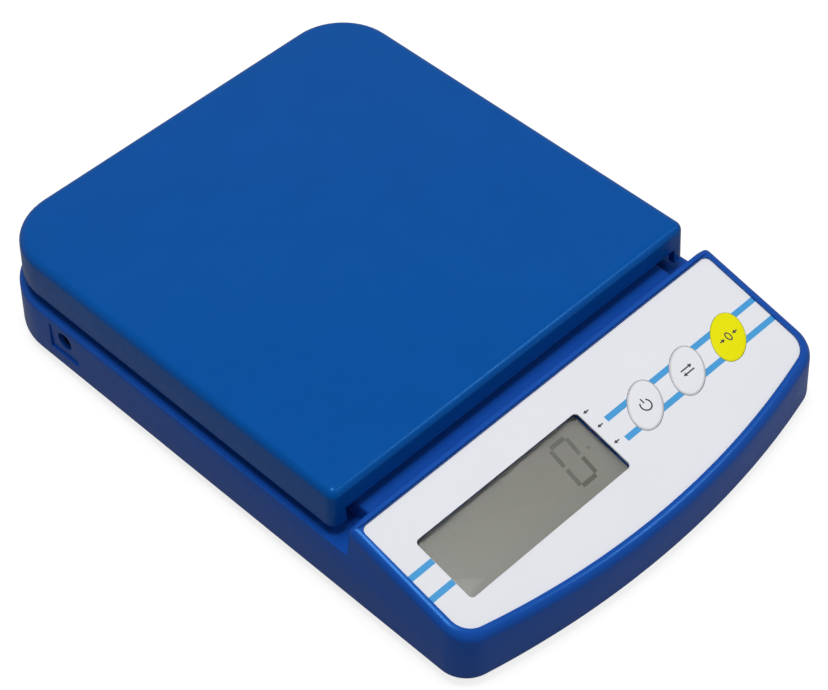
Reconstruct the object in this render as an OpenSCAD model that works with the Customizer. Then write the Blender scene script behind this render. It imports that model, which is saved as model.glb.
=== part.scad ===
// Compact electronic balance.
// A square platform stands on a single-point load cell inside a low housing,
// and a sloping panel in front of it carries the display and three keys.
// Millimetres, +Z up, front towards -Y, origin under the middle on the table.

/* [Platform] */
// Width of the platform over its skirt
platform_w = 145; // [140:0.5:160]
// Depth of the platform over its skirt
platform_l = 146.5; // [140:0.5:165]
// Height of the platform's top face above the table
platform_top = 37.4; // [37:0.1:41]
// Height of the platform from its top face to the lower edge of its skirt
platform_h = 13.4; // [12:0.1:14]
// Thickness of the platform's top and skirt
platform_wall = 2.2; // [1.6:0.1:2.4]
// Radius of the platform's two back corners in plan
platform_back_r = 20; // [12:1:30]
// Radius of the platform's two front corners in plan
platform_front_r = 3.4; // [3.2:0.1:6]
// Radius of the rounded edge round the platform's top
platform_edge_r = 2.8; // [1:0.1:2.8]
// Draft angle of the platform's skirt
platform_draft = 2.5; // [1:0.1:2.6]
// Height of the relief cut in the front skirt over the raised deck
skirt_relief_h = 5.5; // [3:0.1:6]
// Width of skirt left standing at each side of that relief
skirt_leg_w = 5; // [4:0.5:8]
// How far the platform goes down at full load
platform_travel = 0.4; // [0.2:0.05:0.45]

/* [Housing] */
// How far the foot of the housing's side walls stands out past the platform
side_margin = 2.2; // [2:0.1:5]
// Plan radius of the bowed front wall
front_arc_r = 285; // [240:5:340]
// Radius of the front corners in plan
front_corner_r = 10; // [8:0.5:12]
// Radius of the back corners in plan
back_corner_r = 22; // [14:1:30]
// Draft angle of the housing's walls
base_draft = 2.3; // [1:0.1:2.5]
// Radius of the rounded edge round the underside
base_edge_r = 3; // [2.4:0.2:3.4]
// Thickness of the housing's walls
base_wall = 2.2; // [1.8:0.1:2.4]
// Height of the low ledge round the platform, above the table
ledge_z = 20.3; // [20.2:0.1:21]
// Thickness of the ledge
ledge_t = 2; // [1.6:0.1:2]
// Height of the raised deck under the platform, above the table
deck_z = 25.5; // [25:0.1:26]
// Thickness of the raised deck
deck_t = 2.2; // [1.6:0.1:2.4]
// Distance from the platform's side to the raised deck's side
deck_side_gap = 10; // [8:0.5:10.5]
// How far the platform's back edge stands in front of the housing's back wall
platform_back_gap = 2; // [1:0.5:4]
// Radius of the raised deck's back corners
deck_corner_r = 14; // [8:1:20]
// Distance from the raised deck's back edge to the inside of the platform's skirt
deck_back_gap = 8; // [7.5:0.5:10]
// Thickness of the bottom cover
cover_t = 2.2; // [2:0.1:2.4]
// Width of the lip that the walls turn in under, around the bottom cover
cover_lip_w = 4.2; // [3.8:0.2:5]

/* [Panel] */
// Slope of the panel down towards the front, in degrees
panel_tilt = 14.7; // [13:0.1:15]
// Distance from the label's back edge to the platform's front edge, in plan
label_gap = 8.8; // [8:0.1:10]
// Height of the label's back edge above the table
label_back_z = 30.9; // [30.6:0.1:31.4]
// Width of the rim beside the label
rim_side_w = 3; // [2.6:0.1:3.6]
// Distance in plan from the label's front to the foot of the front wall
rim_front_w = 3.75; // [3.4:0.05:4.5]
// Depth of the label down the slope, in the middle
label_l = 48.95; // [47:0.05:52]
// Thickness of the label
label_t = 0.5; // [0.3:0.1:0.6]
// Radius of the label's bowed front edge
label_arc_r = 278; // [240:1:340]
// Radius of the label's front corners
label_front_r = 6.5; // [5:0.5:8]
// Radius of the label's back corners
label_back_r = 2.2; // [1:0.1:4]
// Height of the rim around the label
rim_h = 0.6; // [0.3:0.1:0.8]
// Width of the rim behind the label
rim_back_w = 2.4; // [2:0.1:2.8]
// Thickness of the panel under the label
panel_t = 2; // [1.8:0.1:2.2]

/* [Display] */
// Width of the display window
window_w = 63.5; // [56:0.5:64]
// Height of the display window, down the slope
window_l = 21.9; // [18:0.1:22]
// Distance of the window's middle to the left of the label's middle
window_left = 30.2; // [29:0.1:31]
// Distance down the slope from the label's back edge to the window
window_down = 12; // [11.6:0.1:12.4]
// Radius of the window's corners
window_r = 1.4; // [0.5:0.1:2]
// Thickness of the clear pane
pane_t = 1; // [0.8:0.1:1]
// Thickness of the liquid crystal glass
lcd_t = 2.7; // [2.2:0.1:2.8]
// Height of the elastomer strips between glass and board
strip_h = 1.5; // [1.4:0.1:2]

/* [Keys] */
// Half of a key's long axis
key_a = 8.1; // [7:0.1:8.4]
// Half of a key's short axis
key_b = 5.2; // [4.8:0.1:5.4]
// Lean of the key's long axis from the label's long edge, in degrees
key_lean = 45.5; // [40:0.5:50]
// Distance between two keys
key_pitch = 18.05; // [17.8:0.05:18.4]
// Distance of the middle key to the right of the label's middle
key_right = 37; // [36.6:0.1:37.4]
// Distance down the slope from the label's back edge to the keys
key_down = 23.1; // [22.6:0.1:23.6]
// How far a key stands above the label
key_proud = 0.4; // [0.2:0.1:0.8]
// How far a key goes down
key_travel = 0.5; // [0.3:0.05:0.6]

/* [Load cell] */
// Length of the load cell
cell_l = 80; // [76:1:84]
// Width of the load cell
cell_w = 12.7; // [12:0.1:14]
// Height of the load cell
cell_h = 12.7; // [12:0.1:13]
// Radius of the two bores that make the flexures
flexure_r = 4.6; // [4:0.1:4.8]
// Thickness of the spacer under and over the load cell
spacer_t = 2; // [1.5:0.1:2.2]
// Distance between the two screws at each end of the load cell
cell_screw_pitch = 15; // [12:1:16]
// Distance from an end of the load cell to its first screw
cell_screw_end = 6; // [5:0.5:8]

/* [Power] */
// Diameter of a cell of the battery
battery_d = 14.3; // [13.5:0.1:14.5]
// Length of a cell of the battery, without its button
battery_l = 49.2; // [48:0.1:50]
// Distance between the axes of two cells
battery_pitch = 15.2; // [15:0.1:15.6]
// How far the battery door slides to come free
door_travel = 5; // [3:0.5:6]
// Thickness of the battery door
door_t = 1.8; // [1.4:0.1:1.9]
// Radius of the hole for the power inlet in the left wall
inlet_hole_r = 3; // [2.9:0.1:3.2]
// Radius of the inlet's bore
inlet_bore_r = 2.8; // [2.6:0.05:2.85]
// Radius of the pin in the inlet's bore
inlet_pin_r = 1.05; // [0.6:0.05:1.3]
// Height of the inlet above the table
inlet_z = 14; // [13.5:0.1:14.2]
// Distance of the inlet in front of the housing's back wall
inlet_from_back = 34.3; // [31:0.1:44]

/* [Feet and screws] */
// How far the feet stand below the housing
foot_h = 1.6; // [1.2:0.1:2]
// Radius of a foot
foot_r = 6; // [5:0.5:7]
// Depth of the recess that holds a foot
foot_seat = 0.6; // [0.4:0.1:0.9]
// Radius of a housing screw's shaft
screw_r = 1.4; // [1.2:0.1:1.5]
// Radius of a housing screw's head
screw_head_r = 2.7; // [2.4:0.1:2.9]
// Height of a housing screw's head
screw_head_h = 1.1; // [0.9:0.1:1.2]
// Radius of a load cell screw's shaft
cell_screw_r = 2; // [1.8:0.1:2.2]
// Radius of a load cell screw's head
cell_screw_head_r = 3.5; // [3.2:0.1:3.6]
// Height of a load cell screw's head
cell_screw_head_h = 1.8; // [1.6:0.1:2]

/* [Clearances] */
// Gap between a screw and its hole
screw_gap = 0.05; // [0.02:0.01:0.1]
// Gap around a fixed piece that drops into a recess
fit_gap = 0.2; // [0.1:0.05:0.25]
// Gap around a piece that slides in an opening
slide_gap = 0.25; // [0.2:0.05:0.35]
// Gap between two faces that only lie on each other
rest_gap = 0.1; // [0.05:0.05:0.15]

/* [Hidden] */
$fn = 96;

// Colours as the photograph shows them, or as such parts usually are
blue = [0.02, 0.26, 0.62];
white = [0.91, 0.91, 0.92];
yellow = [0.92, 0.90, 0.08];
steel = [0.72, 0.73, 0.75];
aluminium = [0.80, 0.81, 0.83];
rubber = [0.10, 0.10, 0.11];
board_green = [0.06, 0.35, 0.17];
black = [0.07, 0.07, 0.08];
grey = [0.55, 0.55, 0.52];

// Heights, from the table up
base_z = foot_h;
cover_top = base_z + cover_t;
cell_boss_h = 1.2;
cell_z = cover_top + cell_boss_h + spacer_t;
cell_top = cell_z + cell_h;
// The rigid load cell stands in for one that bends, so its load spacer starts this far above it
bend_gap = platform_travel + 0.05;
carrier_z = cell_top + bend_gap + spacer_t;
carrier_gap = 1.5;
carrier_plate_z = deck_z + carrier_gap;
carrier_t = 2.5;
skirt_z = platform_top - platform_h;
platform_under = platform_top - platform_wall;
pad_t = 0.5;

// Plan of the housing and the platform
platform_half = platform_w / 2;
base_half = platform_half + side_margin;
base_w = 2 * base_half;
base_l = round(100 * (platform_back_gap + platform_l + label_gap + label_l * cos(panel_tilt) + rim_front_w)) / 100;
base_back = base_l / 2;
base_front = -base_l / 2;
platform_back = base_back - platform_back_gap;
platform_front = platform_back - platform_l;
platform_mid = (platform_back + platform_front) / 2;
label_back_y = platform_front - label_gap;
hood_back = label_back_y + rim_back_w;
deck_half = platform_half - deck_side_gap;
label_half = base_half - 0.9 - rim_side_w;
deck_back = platform_back - platform_wall - deck_back_gap;
// Each plan is half width, back, front, front corner, back corner and front arc (0 is straight)
base_plan = [base_half, base_back, base_front, front_corner_r, back_corner_r, front_arc_r];
platform_plan = [platform_half, platform_back, platform_front, platform_front_r, platform_back_r, 0];
label_plan = [label_half, 0, -label_l, label_front_r, label_back_r, label_arc_r];
tall = 60;

// Round stretches of an outline are laid out by this rule
function arc(cx, cy, r, from, to, steps) =
    [for (i = [0 : steps]) let (a = from + (to - from) * i / steps) [cx + r * cos(a), cy + r * sin(a)]];

// Centre of a plan's front corner, and the angle of bowed front that one half spans
function arc_y(p) = p[2] + p[5];
function front_corner_x(p) = p[0] - p[3];
function front_corner_y(p) = p[5] == 0 ? p[2] + p[3]
    : round((arc_y(p) - sqrt(pow(p[5] - p[3], 2) - pow(front_corner_x(p), 2))) * 1000) / 1000;
function front_half_angle(p) = p[5] == 0 ? 0
    : round(asin(front_corner_x(p) / (p[5] - p[3])) * 1000) / 1000;

// A flat plan, grown by d
module plan(p, d = 0) {
    cy = front_corner_y(p);
    reach = p[5] == 0 ? front_corner_x(p) : (p[5] + d) * sin(front_half_angle(p));
    for (side = [-1, 1]) {
        translate([side * front_corner_x(p), cy]) circle(p[3] + d);
        translate([side * (p[0] - p[4]), p[1] - p[4]]) circle(p[4] + d);
    }
    translate([-p[0] - d, cy]) square([2 * (p[0] + d), p[1] - p[4] - cy]);
    translate([-p[0] + p[4], cy]) square([2 * (p[0] - p[4]), p[1] + d - cy]);
    if (p[5] == 0)
        translate([-reach, p[2] - d]) square([2 * reach, cy - p[2] + d + 1]);
    else
        intersection() {
            translate([0, arc_y(p)]) circle(p[5] + d, $fn = 720);
            translate([-reach, p[2] - d - 1]) square([2 * reach, cy - p[2] + d + 2]);
        }
}

// A wall round a plan: its section is the child, with x outwards from the plan and y up
module wall_round(p) {
    cy = front_corner_y(p);
    half_angle = front_half_angle(p);
    for (side = [0, 1]) mirror([side, 0, 0]) {
        translate([p[0], cy, 0]) rotate([90, 0, 180]) mirror([1, 0, 0])
            linear_extrude(p[1] - p[4] - cy) children();
        translate([p[0] - p[4], p[1] - p[4], 0])
            rotate_extrude(angle = 90) translate([p[4], 0]) children();
        translate([front_corner_x(p), cy, 0]) mirror([0, 1, 0])
            rotate_extrude(angle = 90 - half_angle) translate([p[3], 0]) children();
        if (p[5] == 0)
            translate([0, p[2], 0]) rotate([90, 0, 90]) mirror([1, 0, 0])
                linear_extrude(front_corner_x(p)) children();
        else
            translate([0, arc_y(p), 0]) rotate([0, 0, -90])
                rotate_extrude(angle = half_angle, $fn = 720) translate([p[5], 0]) children();
    }
    translate([p[4] - p[0], p[1], 0]) rotate([90, 0, 90])
        linear_extrude(2 * (p[0] - p[4])) children();
}

// The panel's own frame: x to the right, y up the slope, z out of the label's face
module on_panel() {
    translate([0, label_back_y, label_back_z]) rotate([panel_tilt, 0, 0]) children();
}

// A box given by its lowest and highest corners
module span(low, high) {
    translate(low) cube(high - low);
}

// A flat rectangle with round corners, about its middle
module rounded(w, l, r) {
    square([w - 2 * r, l], center = true);
    square([w, l - 2 * r], center = true);
    for (x = [-1, 1], y = [-1, 1]) translate([x * (w / 2 - r), y * (l / 2 - r)]) circle(r);
}

// A leaning key's outline: four arcs that meet smoothly, grown by d
key_end_r = 3.5;
module key_outline(d = 0) {
    end_x = key_a - key_end_r;
    side_r = (pow(end_x, 2) + pow(key_b, 2) - pow(key_end_r, 2)) / (2 * (key_b - key_end_r));
    side_y = side_r - key_b;
    meet_x = end_x * (side_r + d) / (side_r - key_end_r);
    rotate(key_lean) {
        for (end = [-1, 1]) translate([end * end_x, 0]) circle(key_end_r + d);
        intersection() {
            translate([0, -side_y]) circle(side_r + d);
            translate([0, side_y]) circle(side_r + d);
            square([2 * meet_x, 4 * key_a], center = true);
        }
    }
}
function key_x(i) = key_right + (i - 1) * key_pitch;

// A tube of eight sides swept along points that never run along up
function unit(v) = v / norm(v);
function along(pts, i) = unit(pts[min(i + 1, len(pts) - 1)] - pts[max(i - 1, 0)]);
function across(t, up) = unit(cross(up, t));
// A smooth route through hand-picked points
function blend_point(a, b, c, d, t) = 0.5 * (2 * b + (c - a) * t
    + (2 * a - 5 * b + 4 * c - d) * t * t + (3 * b - a - 3 * c + d) * t * t * t);
function route(pts, steps) = let (last = len(pts) - 1)
    [for (i = [0 : last - 1], s = [0 : steps - 1])
        blend_point(pts[max(i - 1, 0)], pts[i], pts[i + 1], pts[min(i + 2, last)], s / steps), pts[last]];
tube_sides = 8;
module tube(pts, r, up = [0, 0, 1]) {
    n = len(pts);
    points = [for (i = [0 : n - 1]) let (t = along(pts, i), u = across(t, up), v = cross(t, u))
        for (k = [0 : tube_sides - 1]) pts[i] + r * (cos(k * 360 / tube_sides) * u + sin(k * 360 / tube_sides) * v)];
    sides = [for (i = [0 : n - 2], k = [0 : tube_sides - 1]) let (next = (k + 1) % tube_sides)
        [i * tube_sides + k, (i + 1) * tube_sides + k, (i + 1) * tube_sides + next, i * tube_sides + next]];
    first = [for (k = [0 : tube_sides - 1]) k];
    last = [for (k = [0 : tube_sides - 1]) n * tube_sides - 1 - k];
    polyhedron(points, concat(sides, [first, last]), convexity = 10);
}

// Platform and what moves with it

// Section of the skirt: draft, rounded top edge and a short flange of the top plate
flange_d = platform_front_r - 0.1;
skirt_lean = (platform_h - platform_edge_r) * tan(platform_draft);
carrier_half = platform_half - 18.5;
post_x = carrier_half - 6;
post_r = 4;
socket_r = 6;
socket_h = 4;
module skirt_section() {
    edge_x = -skirt_lean - platform_edge_r;
    polygon(concat(
        [[-platform_wall, skirt_z], [0, skirt_z]],
        arc(edge_x, platform_top - platform_edge_r, platform_edge_r, 0, 90, 6),
        [[-flange_d, platform_top], [-flange_d, platform_under], [-platform_wall - skirt_lean, platform_under]]));
}
module at_posts() {
    for (x = [-1, 1], y = [-1, 1]) translate([x * post_x, platform_mid + y * post_x, 0]) children();
}
module platform() {
    color(blue) difference() {
        union() {
            wall_round(platform_plan) skirt_section();
            translate([0, 0, platform_under]) linear_extrude(platform_wall) plan(platform_plan, -flange_d);
            at_posts() translate([0, 0, platform_under - socket_h]) cylinder(h = socket_h + 0.5, r = socket_r);
        }
        at_posts() translate([0, 0, platform_under - socket_h - 1])
            cylinder(h = socket_h + 1, r = post_r + slide_gap);
        span([skirt_leg_w - platform_half, platform_front - 1, skirt_z - 1],
            [platform_half - skirt_leg_w, platform_front + platform_wall + 2, skirt_z + skirt_relief_h]);
    }
}
module platform_pads() {
    color(rubber) at_posts() translate([0, 0, platform_under - pad_t]) cylinder(h = pad_t, r = post_r - 0.5);
}

// Carrier: a ribbed plate with a boss on the load cell and four posts
carrier_boss_w = 18;
carrier_rib_h = 2.5;
carrier_rib_t = 2;
load_end_y = platform_mid + cell_l / 2 - cell_screw_end - cell_screw_pitch / 2;
fixed_end_y = platform_mid - cell_l / 2 + cell_screw_end + cell_screw_pitch / 2;
carrier_boss_l = cell_screw_pitch + 2 * cell_screw_head_r + 2;
carrier_post_h = platform_under - pad_t - carrier_plate_z;
module at_load_screws() {
    for (s = [-1, 1]) translate([0, load_end_y + s * cell_screw_pitch / 2, 0]) children();
}
module at_fixed_screws() {
    for (s = [-1, 1]) translate([0, fixed_end_y + s * cell_screw_pitch / 2, 0]) children();
}
module carrier() {
    rib_top = carrier_plate_z + carrier_t + carrier_rib_h;
    color(grey) difference() {
        union() {
            translate([0, platform_mid, carrier_plate_z]) linear_extrude(carrier_t)
                rounded(2 * carrier_half, 2 * carrier_half, 10);
            translate([-carrier_boss_w / 2, load_end_y - carrier_boss_l / 2, carrier_z])
                cube([carrier_boss_w, carrier_boss_l, carrier_plate_z - carrier_z + 1]);
            at_posts() translate([0, 0, carrier_plate_z]) cylinder(h = carrier_post_h, r = post_r);
            for (s = [-1, 1]) {
                translate([s * 28 - carrier_rib_t / 2, platform_mid - post_x, carrier_plate_z])
                    cube([carrier_rib_t, 2 * post_x, rib_top - carrier_plate_z]);
                translate([-post_x, platform_mid + s * 28 - carrier_rib_t / 2, carrier_plate_z])
                    cube([2 * post_x, carrier_rib_t, rib_top - carrier_plate_z]);
            }
        }
        at_load_screws() {
            translate([0, 0, carrier_z - 1]) cylinder(h = tall, r = cell_screw_r + screw_gap);
            translate([0, 0, carrier_plate_z + carrier_t - cell_screw_head_h])
                cylinder(h = tall, r = cell_screw_head_r + fit_gap);
        }
        for (x = [-1, 1], y = [-1, 1]) translate([x * 14, platform_mid + y * 14, carrier_plate_z - 1])
            cylinder(h = carrier_t + 2, r = 6);
    }
}

// A cap screw standing with its shaft down from z = 0, with a hexagon socket in its head
module cap_screw(shaft_r, shaft_h, head_r, head_h) {
    socket_depth = head_h * 0.6;
    difference() {
        union() {
            cylinder(h = head_h, r = head_r);
            translate([0, 0, -shaft_h]) cylinder(h = shaft_h + 0.1, r = shaft_r);
        }
        translate([0, 0, head_h - socket_depth]) cylinder(h = socket_depth + 1, r = head_r * 0.5, $fn = 6);
    }
}
thread_in = 7;
module carrier_screws() {
    head_z = carrier_plate_z + carrier_t - cell_screw_head_h;
    color(steel) at_load_screws() translate([0, 0, head_z])
        cap_screw(cell_screw_r, head_z - cell_top + thread_in, cell_screw_head_r, cell_screw_head_h);
}
module spacer_plate(y, z) {
    translate([-cell_w / 2, y - carrier_boss_l / 2, z]) cube([cell_w, carrier_boss_l, spacer_t]);
}
module top_spacer() {
    color(aluminium) difference() {
        spacer_plate(load_end_y, cell_top + bend_gap);
        at_load_screws() cylinder(h = tall, r = cell_screw_r + screw_gap);
    }
}

// Load cell: a beam with two bores joined by a slot, fixed in front and loaded behind
flexure_y = 9;
module load_cell() {
    color(aluminium) difference() {
        translate([-cell_w / 2, platform_mid - cell_l / 2, cell_z]) cube([cell_w, cell_l, cell_h]);
        for (s = [-1, 1]) translate([-cell_w, platform_mid + s * flexure_y, cell_z + cell_h / 2])
            rotate([0, 90, 0]) cylinder(h = 2 * cell_w, r = flexure_r);
        span([-cell_w, platform_mid - flexure_y, cell_z + cell_h / 2 - 1.5],
            [cell_w, platform_mid + flexure_y, cell_z + cell_h / 2 + 1.5]);
        at_load_screws() translate([0, 0, cell_top - thread_in - 1]) cylinder(h = tall, r = cell_screw_r + screw_gap);
        at_fixed_screws() translate([0, 0, cell_z - 1]) cylinder(h = thread_in + 2, r = cell_screw_r + screw_gap);
    }
}
seal_t = 0.8;
seal_l = 2 * (load_end_y - platform_mid - carrier_boss_l / 2 - 1.5);
module gauge_seal() {
    color(white) for (z = [cell_top, cell_z - seal_t])
        translate([-cell_w / 2 + 0.6, platform_mid - seal_l / 2, z]) cube([cell_w - 1.2, seal_l, seal_t]);
}
module base_spacer() {
    color(aluminium) difference() {
        spacer_plate(fixed_end_y, cell_z - spacer_t);
        at_fixed_screws() cylinder(h = tall, r = cell_screw_r + screw_gap);
    }
}
module base_screws() {
    color(steel) at_fixed_screws() translate([0, 0, base_z + cell_screw_head_h + 0.1]) rotate([180, 0, 0])
        cap_screw(cell_screw_r, cell_z + thread_in - base_z - cell_screw_head_h, cell_screw_head_r, cell_screw_head_h);
}
stop_gap = 0.5;
module overload_stop() {
    color(steel) difference() {
        translate([0, load_end_y, base_z + 0.4]) cylinder(h = cell_z - stop_gap - base_z - 0.4, r = cell_screw_r);
        translate([0, load_end_y, base_z]) cylinder(h = 2, r = cell_screw_r * 0.5, $fn = 6);
    }
}

// Housing

// Section of the outer wall, tall enough for the panel's back edge to be cut from it
wall_foot = base_z + base_edge_r;
function lean(z) = -(z - wall_foot) * tan(base_draft);
module wall_section() {
    high = label_back_z + 4;
    polygon(concat(
        [[-cover_lip_w, base_z]],
        arc(-base_edge_r, wall_foot, base_edge_r, -90, 0, 6),
        [[lean(high), high], [lean(high) - base_wall, high], [-base_wall - 0.1, cover_top + 1.4],
            [-cover_lip_w, cover_top + 1.4]]));
}
function panel_z(y) = label_back_z + (y - label_back_y) * tan(panel_tilt);
boss_r = 3.6;
screw_l = 9;
boss_spots = [[base_half - 24.7, base_front + 12], [base_half - 7.7, platform_mid - 19],
    [base_half - 29.7, base_back - 7.4]];
module at_bosses() {
    for (side = [-1, 1], spot = boss_spots) translate([side * spot[0], spot[1], 0]) children();
}
standoff_r = 2.6;
board_bottom = -(label_t + panel_t) - rest_gap - lcd_t - strip_h - 1.6;
board_t = 1.6;
board_top = board_bottom + board_t;
board_half = label_half - 0.3;
board_l = 32;
board_y = -20.5;
standoff_spots = [for (x = [-1, 1], y = [-1, 1]) [x * (board_half - 2.5), board_y + y * (board_l / 2 - 3.5)]];
deck_slot_w = carrier_boss_w + 3;
deck_slot_l = carrier_boss_l + 3;
inlet_wall = 1.1;
inlet_h = 2 * (inlet_bore_r + inlet_wall);
inlet_w = inlet_h + 1.2;
inlet_y = base_back - inlet_from_back;
inlet_deep = 12;
inlet_face = base_half + lean(ledge_z - ledge_t) - base_wall - rest_gap;
cheek_t = 1.4;
cheek_drop = 7;
flat_deep = 0.8;
module deck_block(d, low, high) {
    deck_plan = [deck_half, deck_back, hood_back - base_wall, base_wall + 0.8, deck_corner_r, 0];
    translate([0, 0, low]) linear_extrude(high - low) plan(deck_plan, d);
}
module upper_housing() {
    color(blue) difference() {
        union() {
            // Walls, cut to the ledge behind the panel and to the rim's plane in front
            difference() {
                wall_round(base_plan) wall_section();
                span([-base_w, hood_back, ledge_z], [base_w, base_l, tall]);
                on_panel() span([-base_w, -base_l, rim_h], [base_w, base_l, tall]);
            }
            // Ledge round the deck
            translate([0, 0, ledge_z - ledge_t]) linear_extrude(ledge_t) intersection() {
                plan(base_plan, lean(ledge_z) - base_wall / 2);
                translate([-base_w, hood_back - base_wall]) square([2 * base_w, base_l]);
            }
            deck_block(0, ledge_z - ledge_t, deck_z);
            // Back wall of the panel's hood
            span([-base_half - lean(tall) + 1, hood_back - base_wall, ledge_z - ledge_t],
                [base_half + lean(tall) - 1, hood_back, panel_z(hood_back - base_wall) + 0.1]);
            // Panel, from under the label to the rim
            on_panel() translate([0, 0, -label_t - panel_t]) linear_extrude(label_t + panel_t + rim_h)
                intersection() {
                    plan(label_plan, 2.3);
                    translate([-base_w, -base_l]) square([2 * base_w, base_l + rim_back_w - 0.4]);
                }
            // Screw bosses and board standoffs
            for (side = [-1, 1]) {
                translate([side * boss_spots[0][0], boss_spots[0][1], cover_top + rest_gap])
                    cylinder(h = panel_z(boss_spots[0][1]) - label_t - 1.2 - cover_top, r = boss_r);
                for (i = [1, 2]) translate([side * boss_spots[i][0], boss_spots[i][1], cover_top + rest_gap])
                    cylinder(h = ledge_z - ledge_t / 2 - cover_top, r = boss_r);
            }
            on_panel() for (spot = standoff_spots) translate([spot[0], spot[1], board_top + rest_gap])
                cylinder(h = -board_top - rest_gap - label_t - 0.5, r = standoff_r);
            // Cheeks that hold the power inlet
            for (s = [-1, 1]) translate([-inlet_face - 0.3,
                    inlet_y + s * (inlet_w / 2 + fit_gap + cheek_t / 2) - cheek_t / 2, ledge_z - ledge_t - cheek_drop])
                cube([inlet_deep - 2, cheek_t, cheek_drop + ledge_t / 2]);
        }
        // Hollow of the deck, with the slot for the carrier's boss
        deck_block(-base_wall, 0, deck_z - deck_t);
        translate([-deck_slot_w / 2, load_end_y - deck_slot_l / 2, deck_z - deck_t - 1])
            cube([deck_slot_w, deck_slot_l, deck_t + 2]);
        // Seat of the label, seat of the pane, and openings for display and keys
        on_panel() {
            translate([0, 0, -label_t]) linear_extrude(tall) plan(label_plan, rest_gap);
            translate([-window_left, -window_down - window_l / 2, 0]) {
                translate([0, 0, -label_t - pane_t]) linear_extrude(tall)
                    rounded(window_w + 4 + 2 * rest_gap, window_l + 4 + 2 * rest_gap, window_r);
                translate([0, 0, -tall / 2]) linear_extrude(tall)
                    rounded(window_w + 0.4, window_l + 0.4, window_r);
            }
            for (i = [0, 1, 2]) translate([key_x(i), -key_down, -tall / 2]) linear_extrude(tall)
                key_outline(slide_gap);
            for (spot = standoff_spots) translate([spot[0], spot[1], board_bottom])
                cylinder(h = -board_bottom - label_t - 0.8, r = screw_r * 0.8 + screw_gap);
        }
        // Screw holes from below
        for (side = [-1, 1], i = [0 : 2]) translate([side * boss_spots[i][0], boss_spots[i][1], 0])
            cylinder(h = cover_top + screw_l, r = screw_r + screw_gap);
        // Power inlet: its hole and the shallow flat round it
        translate([-base_half - 1, inlet_y, inlet_z]) rotate([0, 90, 0])
            cylinder(h = base_wall + 4, r = inlet_hole_r);
        span([-base_half - 1, inlet_y - inlet_hole_r - 3.4, inlet_z - inlet_hole_r - 3],
            [-base_half + flat_deep, inlet_y + inlet_hole_r + 3.4, inlet_z + inlet_hole_r + 0.4]);
    }
}

// Bottom cover with the battery box standing on it
cover_plan_d = -cover_lip_w - fit_gap;
box_wall = 1.5;
battery_z = base_z + door_t + rest_gap + battery_d / 2;
box_room = 0.3;
battery_x = deck_half - base_wall - 0.5 - box_wall - box_room - 1.5 * battery_pitch;
contact_room = 4.4;
plate_room = 1.6;
box_x0 = battery_x - 1.5 * battery_pitch - box_room;
box_x1 = battery_x + 1.5 * battery_pitch + box_room;
box_y0 = platform_mid - 28;
box_y1 = box_y0 + plate_room + battery_l + contact_room;
box_top = battery_z + battery_d / 2 + 0.4;
door_x0 = box_x0 + 0.5;
door_x1 = box_x1 - 0.5;
door_y0 = box_y0 + 0.6;
door_y1 = box_y1 + 1;
tongue_w = 4.4;
tongue_l = 3;
foot_x = base_half - 16.7;
foot_front_y = base_front + 22;
foot_back_y = base_back - 18;
cover_rib_t = 1.6;
cover_rib_h = 2;
cover_rib_x = base_half - 19.7;
cover_rib_front = base_front + 44.2;
cover_rib_back = base_back - 19.2;
module at_feet() {
    for (x = [-1, 1], y = [foot_front_y, foot_back_y]) translate([x * foot_x, y, 0]) children();
}
module at_tongues() {
    for (s = [-1, 1]) translate([battery_x + s * battery_pitch / 2, door_y0, 0]) children();
}
module bottom_cover() {
    color(blue) difference() {
        union() {
            translate([0, 0, base_z]) linear_extrude(cover_t) plan(base_plan, cover_plan_d);
            // Battery box and the raised floor of the finger groove behind its door
            span([box_x0 - box_wall, box_y0 - box_wall, cover_top - 0.5],
                [box_x1 + box_wall, box_y1 + box_wall, box_top + box_wall]);
            span([box_x0 - box_wall, box_y1, cover_top - 0.5],
                [box_x1 + box_wall, door_y1 + door_travel + slide_gap + box_wall, cover_top + box_wall]);
            // Boss under the load cell's fixed end and boss of the overload stop
            translate([-cell_w / 2 - 2, fixed_end_y - carrier_boss_l / 2 - 2, cover_top - 0.5])
                cube([cell_w + 4, carrier_boss_l + 4, cell_boss_h + 0.5]);
            translate([0, load_end_y, cover_top - 0.5]) cylinder(h = 2, r = 4.5);
            // Stiffening ribs
            for (y = [cover_rib_front, cover_rib_back]) span([-cover_rib_x, y, cover_top - 0.5],
                [cover_rib_x, y + cover_rib_t, cover_top + cover_rib_h]);
            for (x = [40, 22]) span([-x, cover_rib_front, cover_top - 0.5],
                [-x + cover_rib_t, cover_rib_back + cover_rib_t, cover_top + cover_rib_h]);
        }
        span([box_x0, box_y0, cover_top - 1], [box_x1, box_y1, box_top]);
        span([door_x0 - slide_gap, door_y0 - slide_gap, 0],
            [door_x1 + slide_gap, door_y1 + door_travel + slide_gap, base_z + door_t + 0.2]);
        span([door_x0 - slide_gap, door_y0 - slide_gap, 0], [door_x1 + slide_gap, box_y1 - 1, cover_top + 0.1]);
        at_tongues() span([-tongue_w / 2 - slide_gap, -tongue_l - slide_gap, cover_top],
            [tongue_w / 2 + slide_gap, 1, cover_top + 1.5]);
        at_feet() cylinder(h = base_z + foot_seat, r = foot_r + rest_gap);
        at_bosses() {
            cylinder(h = tall, r = screw_r + screw_gap);
            cylinder(h = base_z + screw_head_h + 0.1, r = screw_head_r + fit_gap);
        }
        at_fixed_screws() {
            cylinder(h = tall, r = cell_screw_r + screw_gap);
            cylinder(h = base_z + cell_screw_head_h + 0.1, r = cell_screw_head_r + fit_gap);
        }
        translate([0, load_end_y, 0]) cylinder(h = tall, r = cell_screw_r + screw_gap);
    }
}
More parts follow.
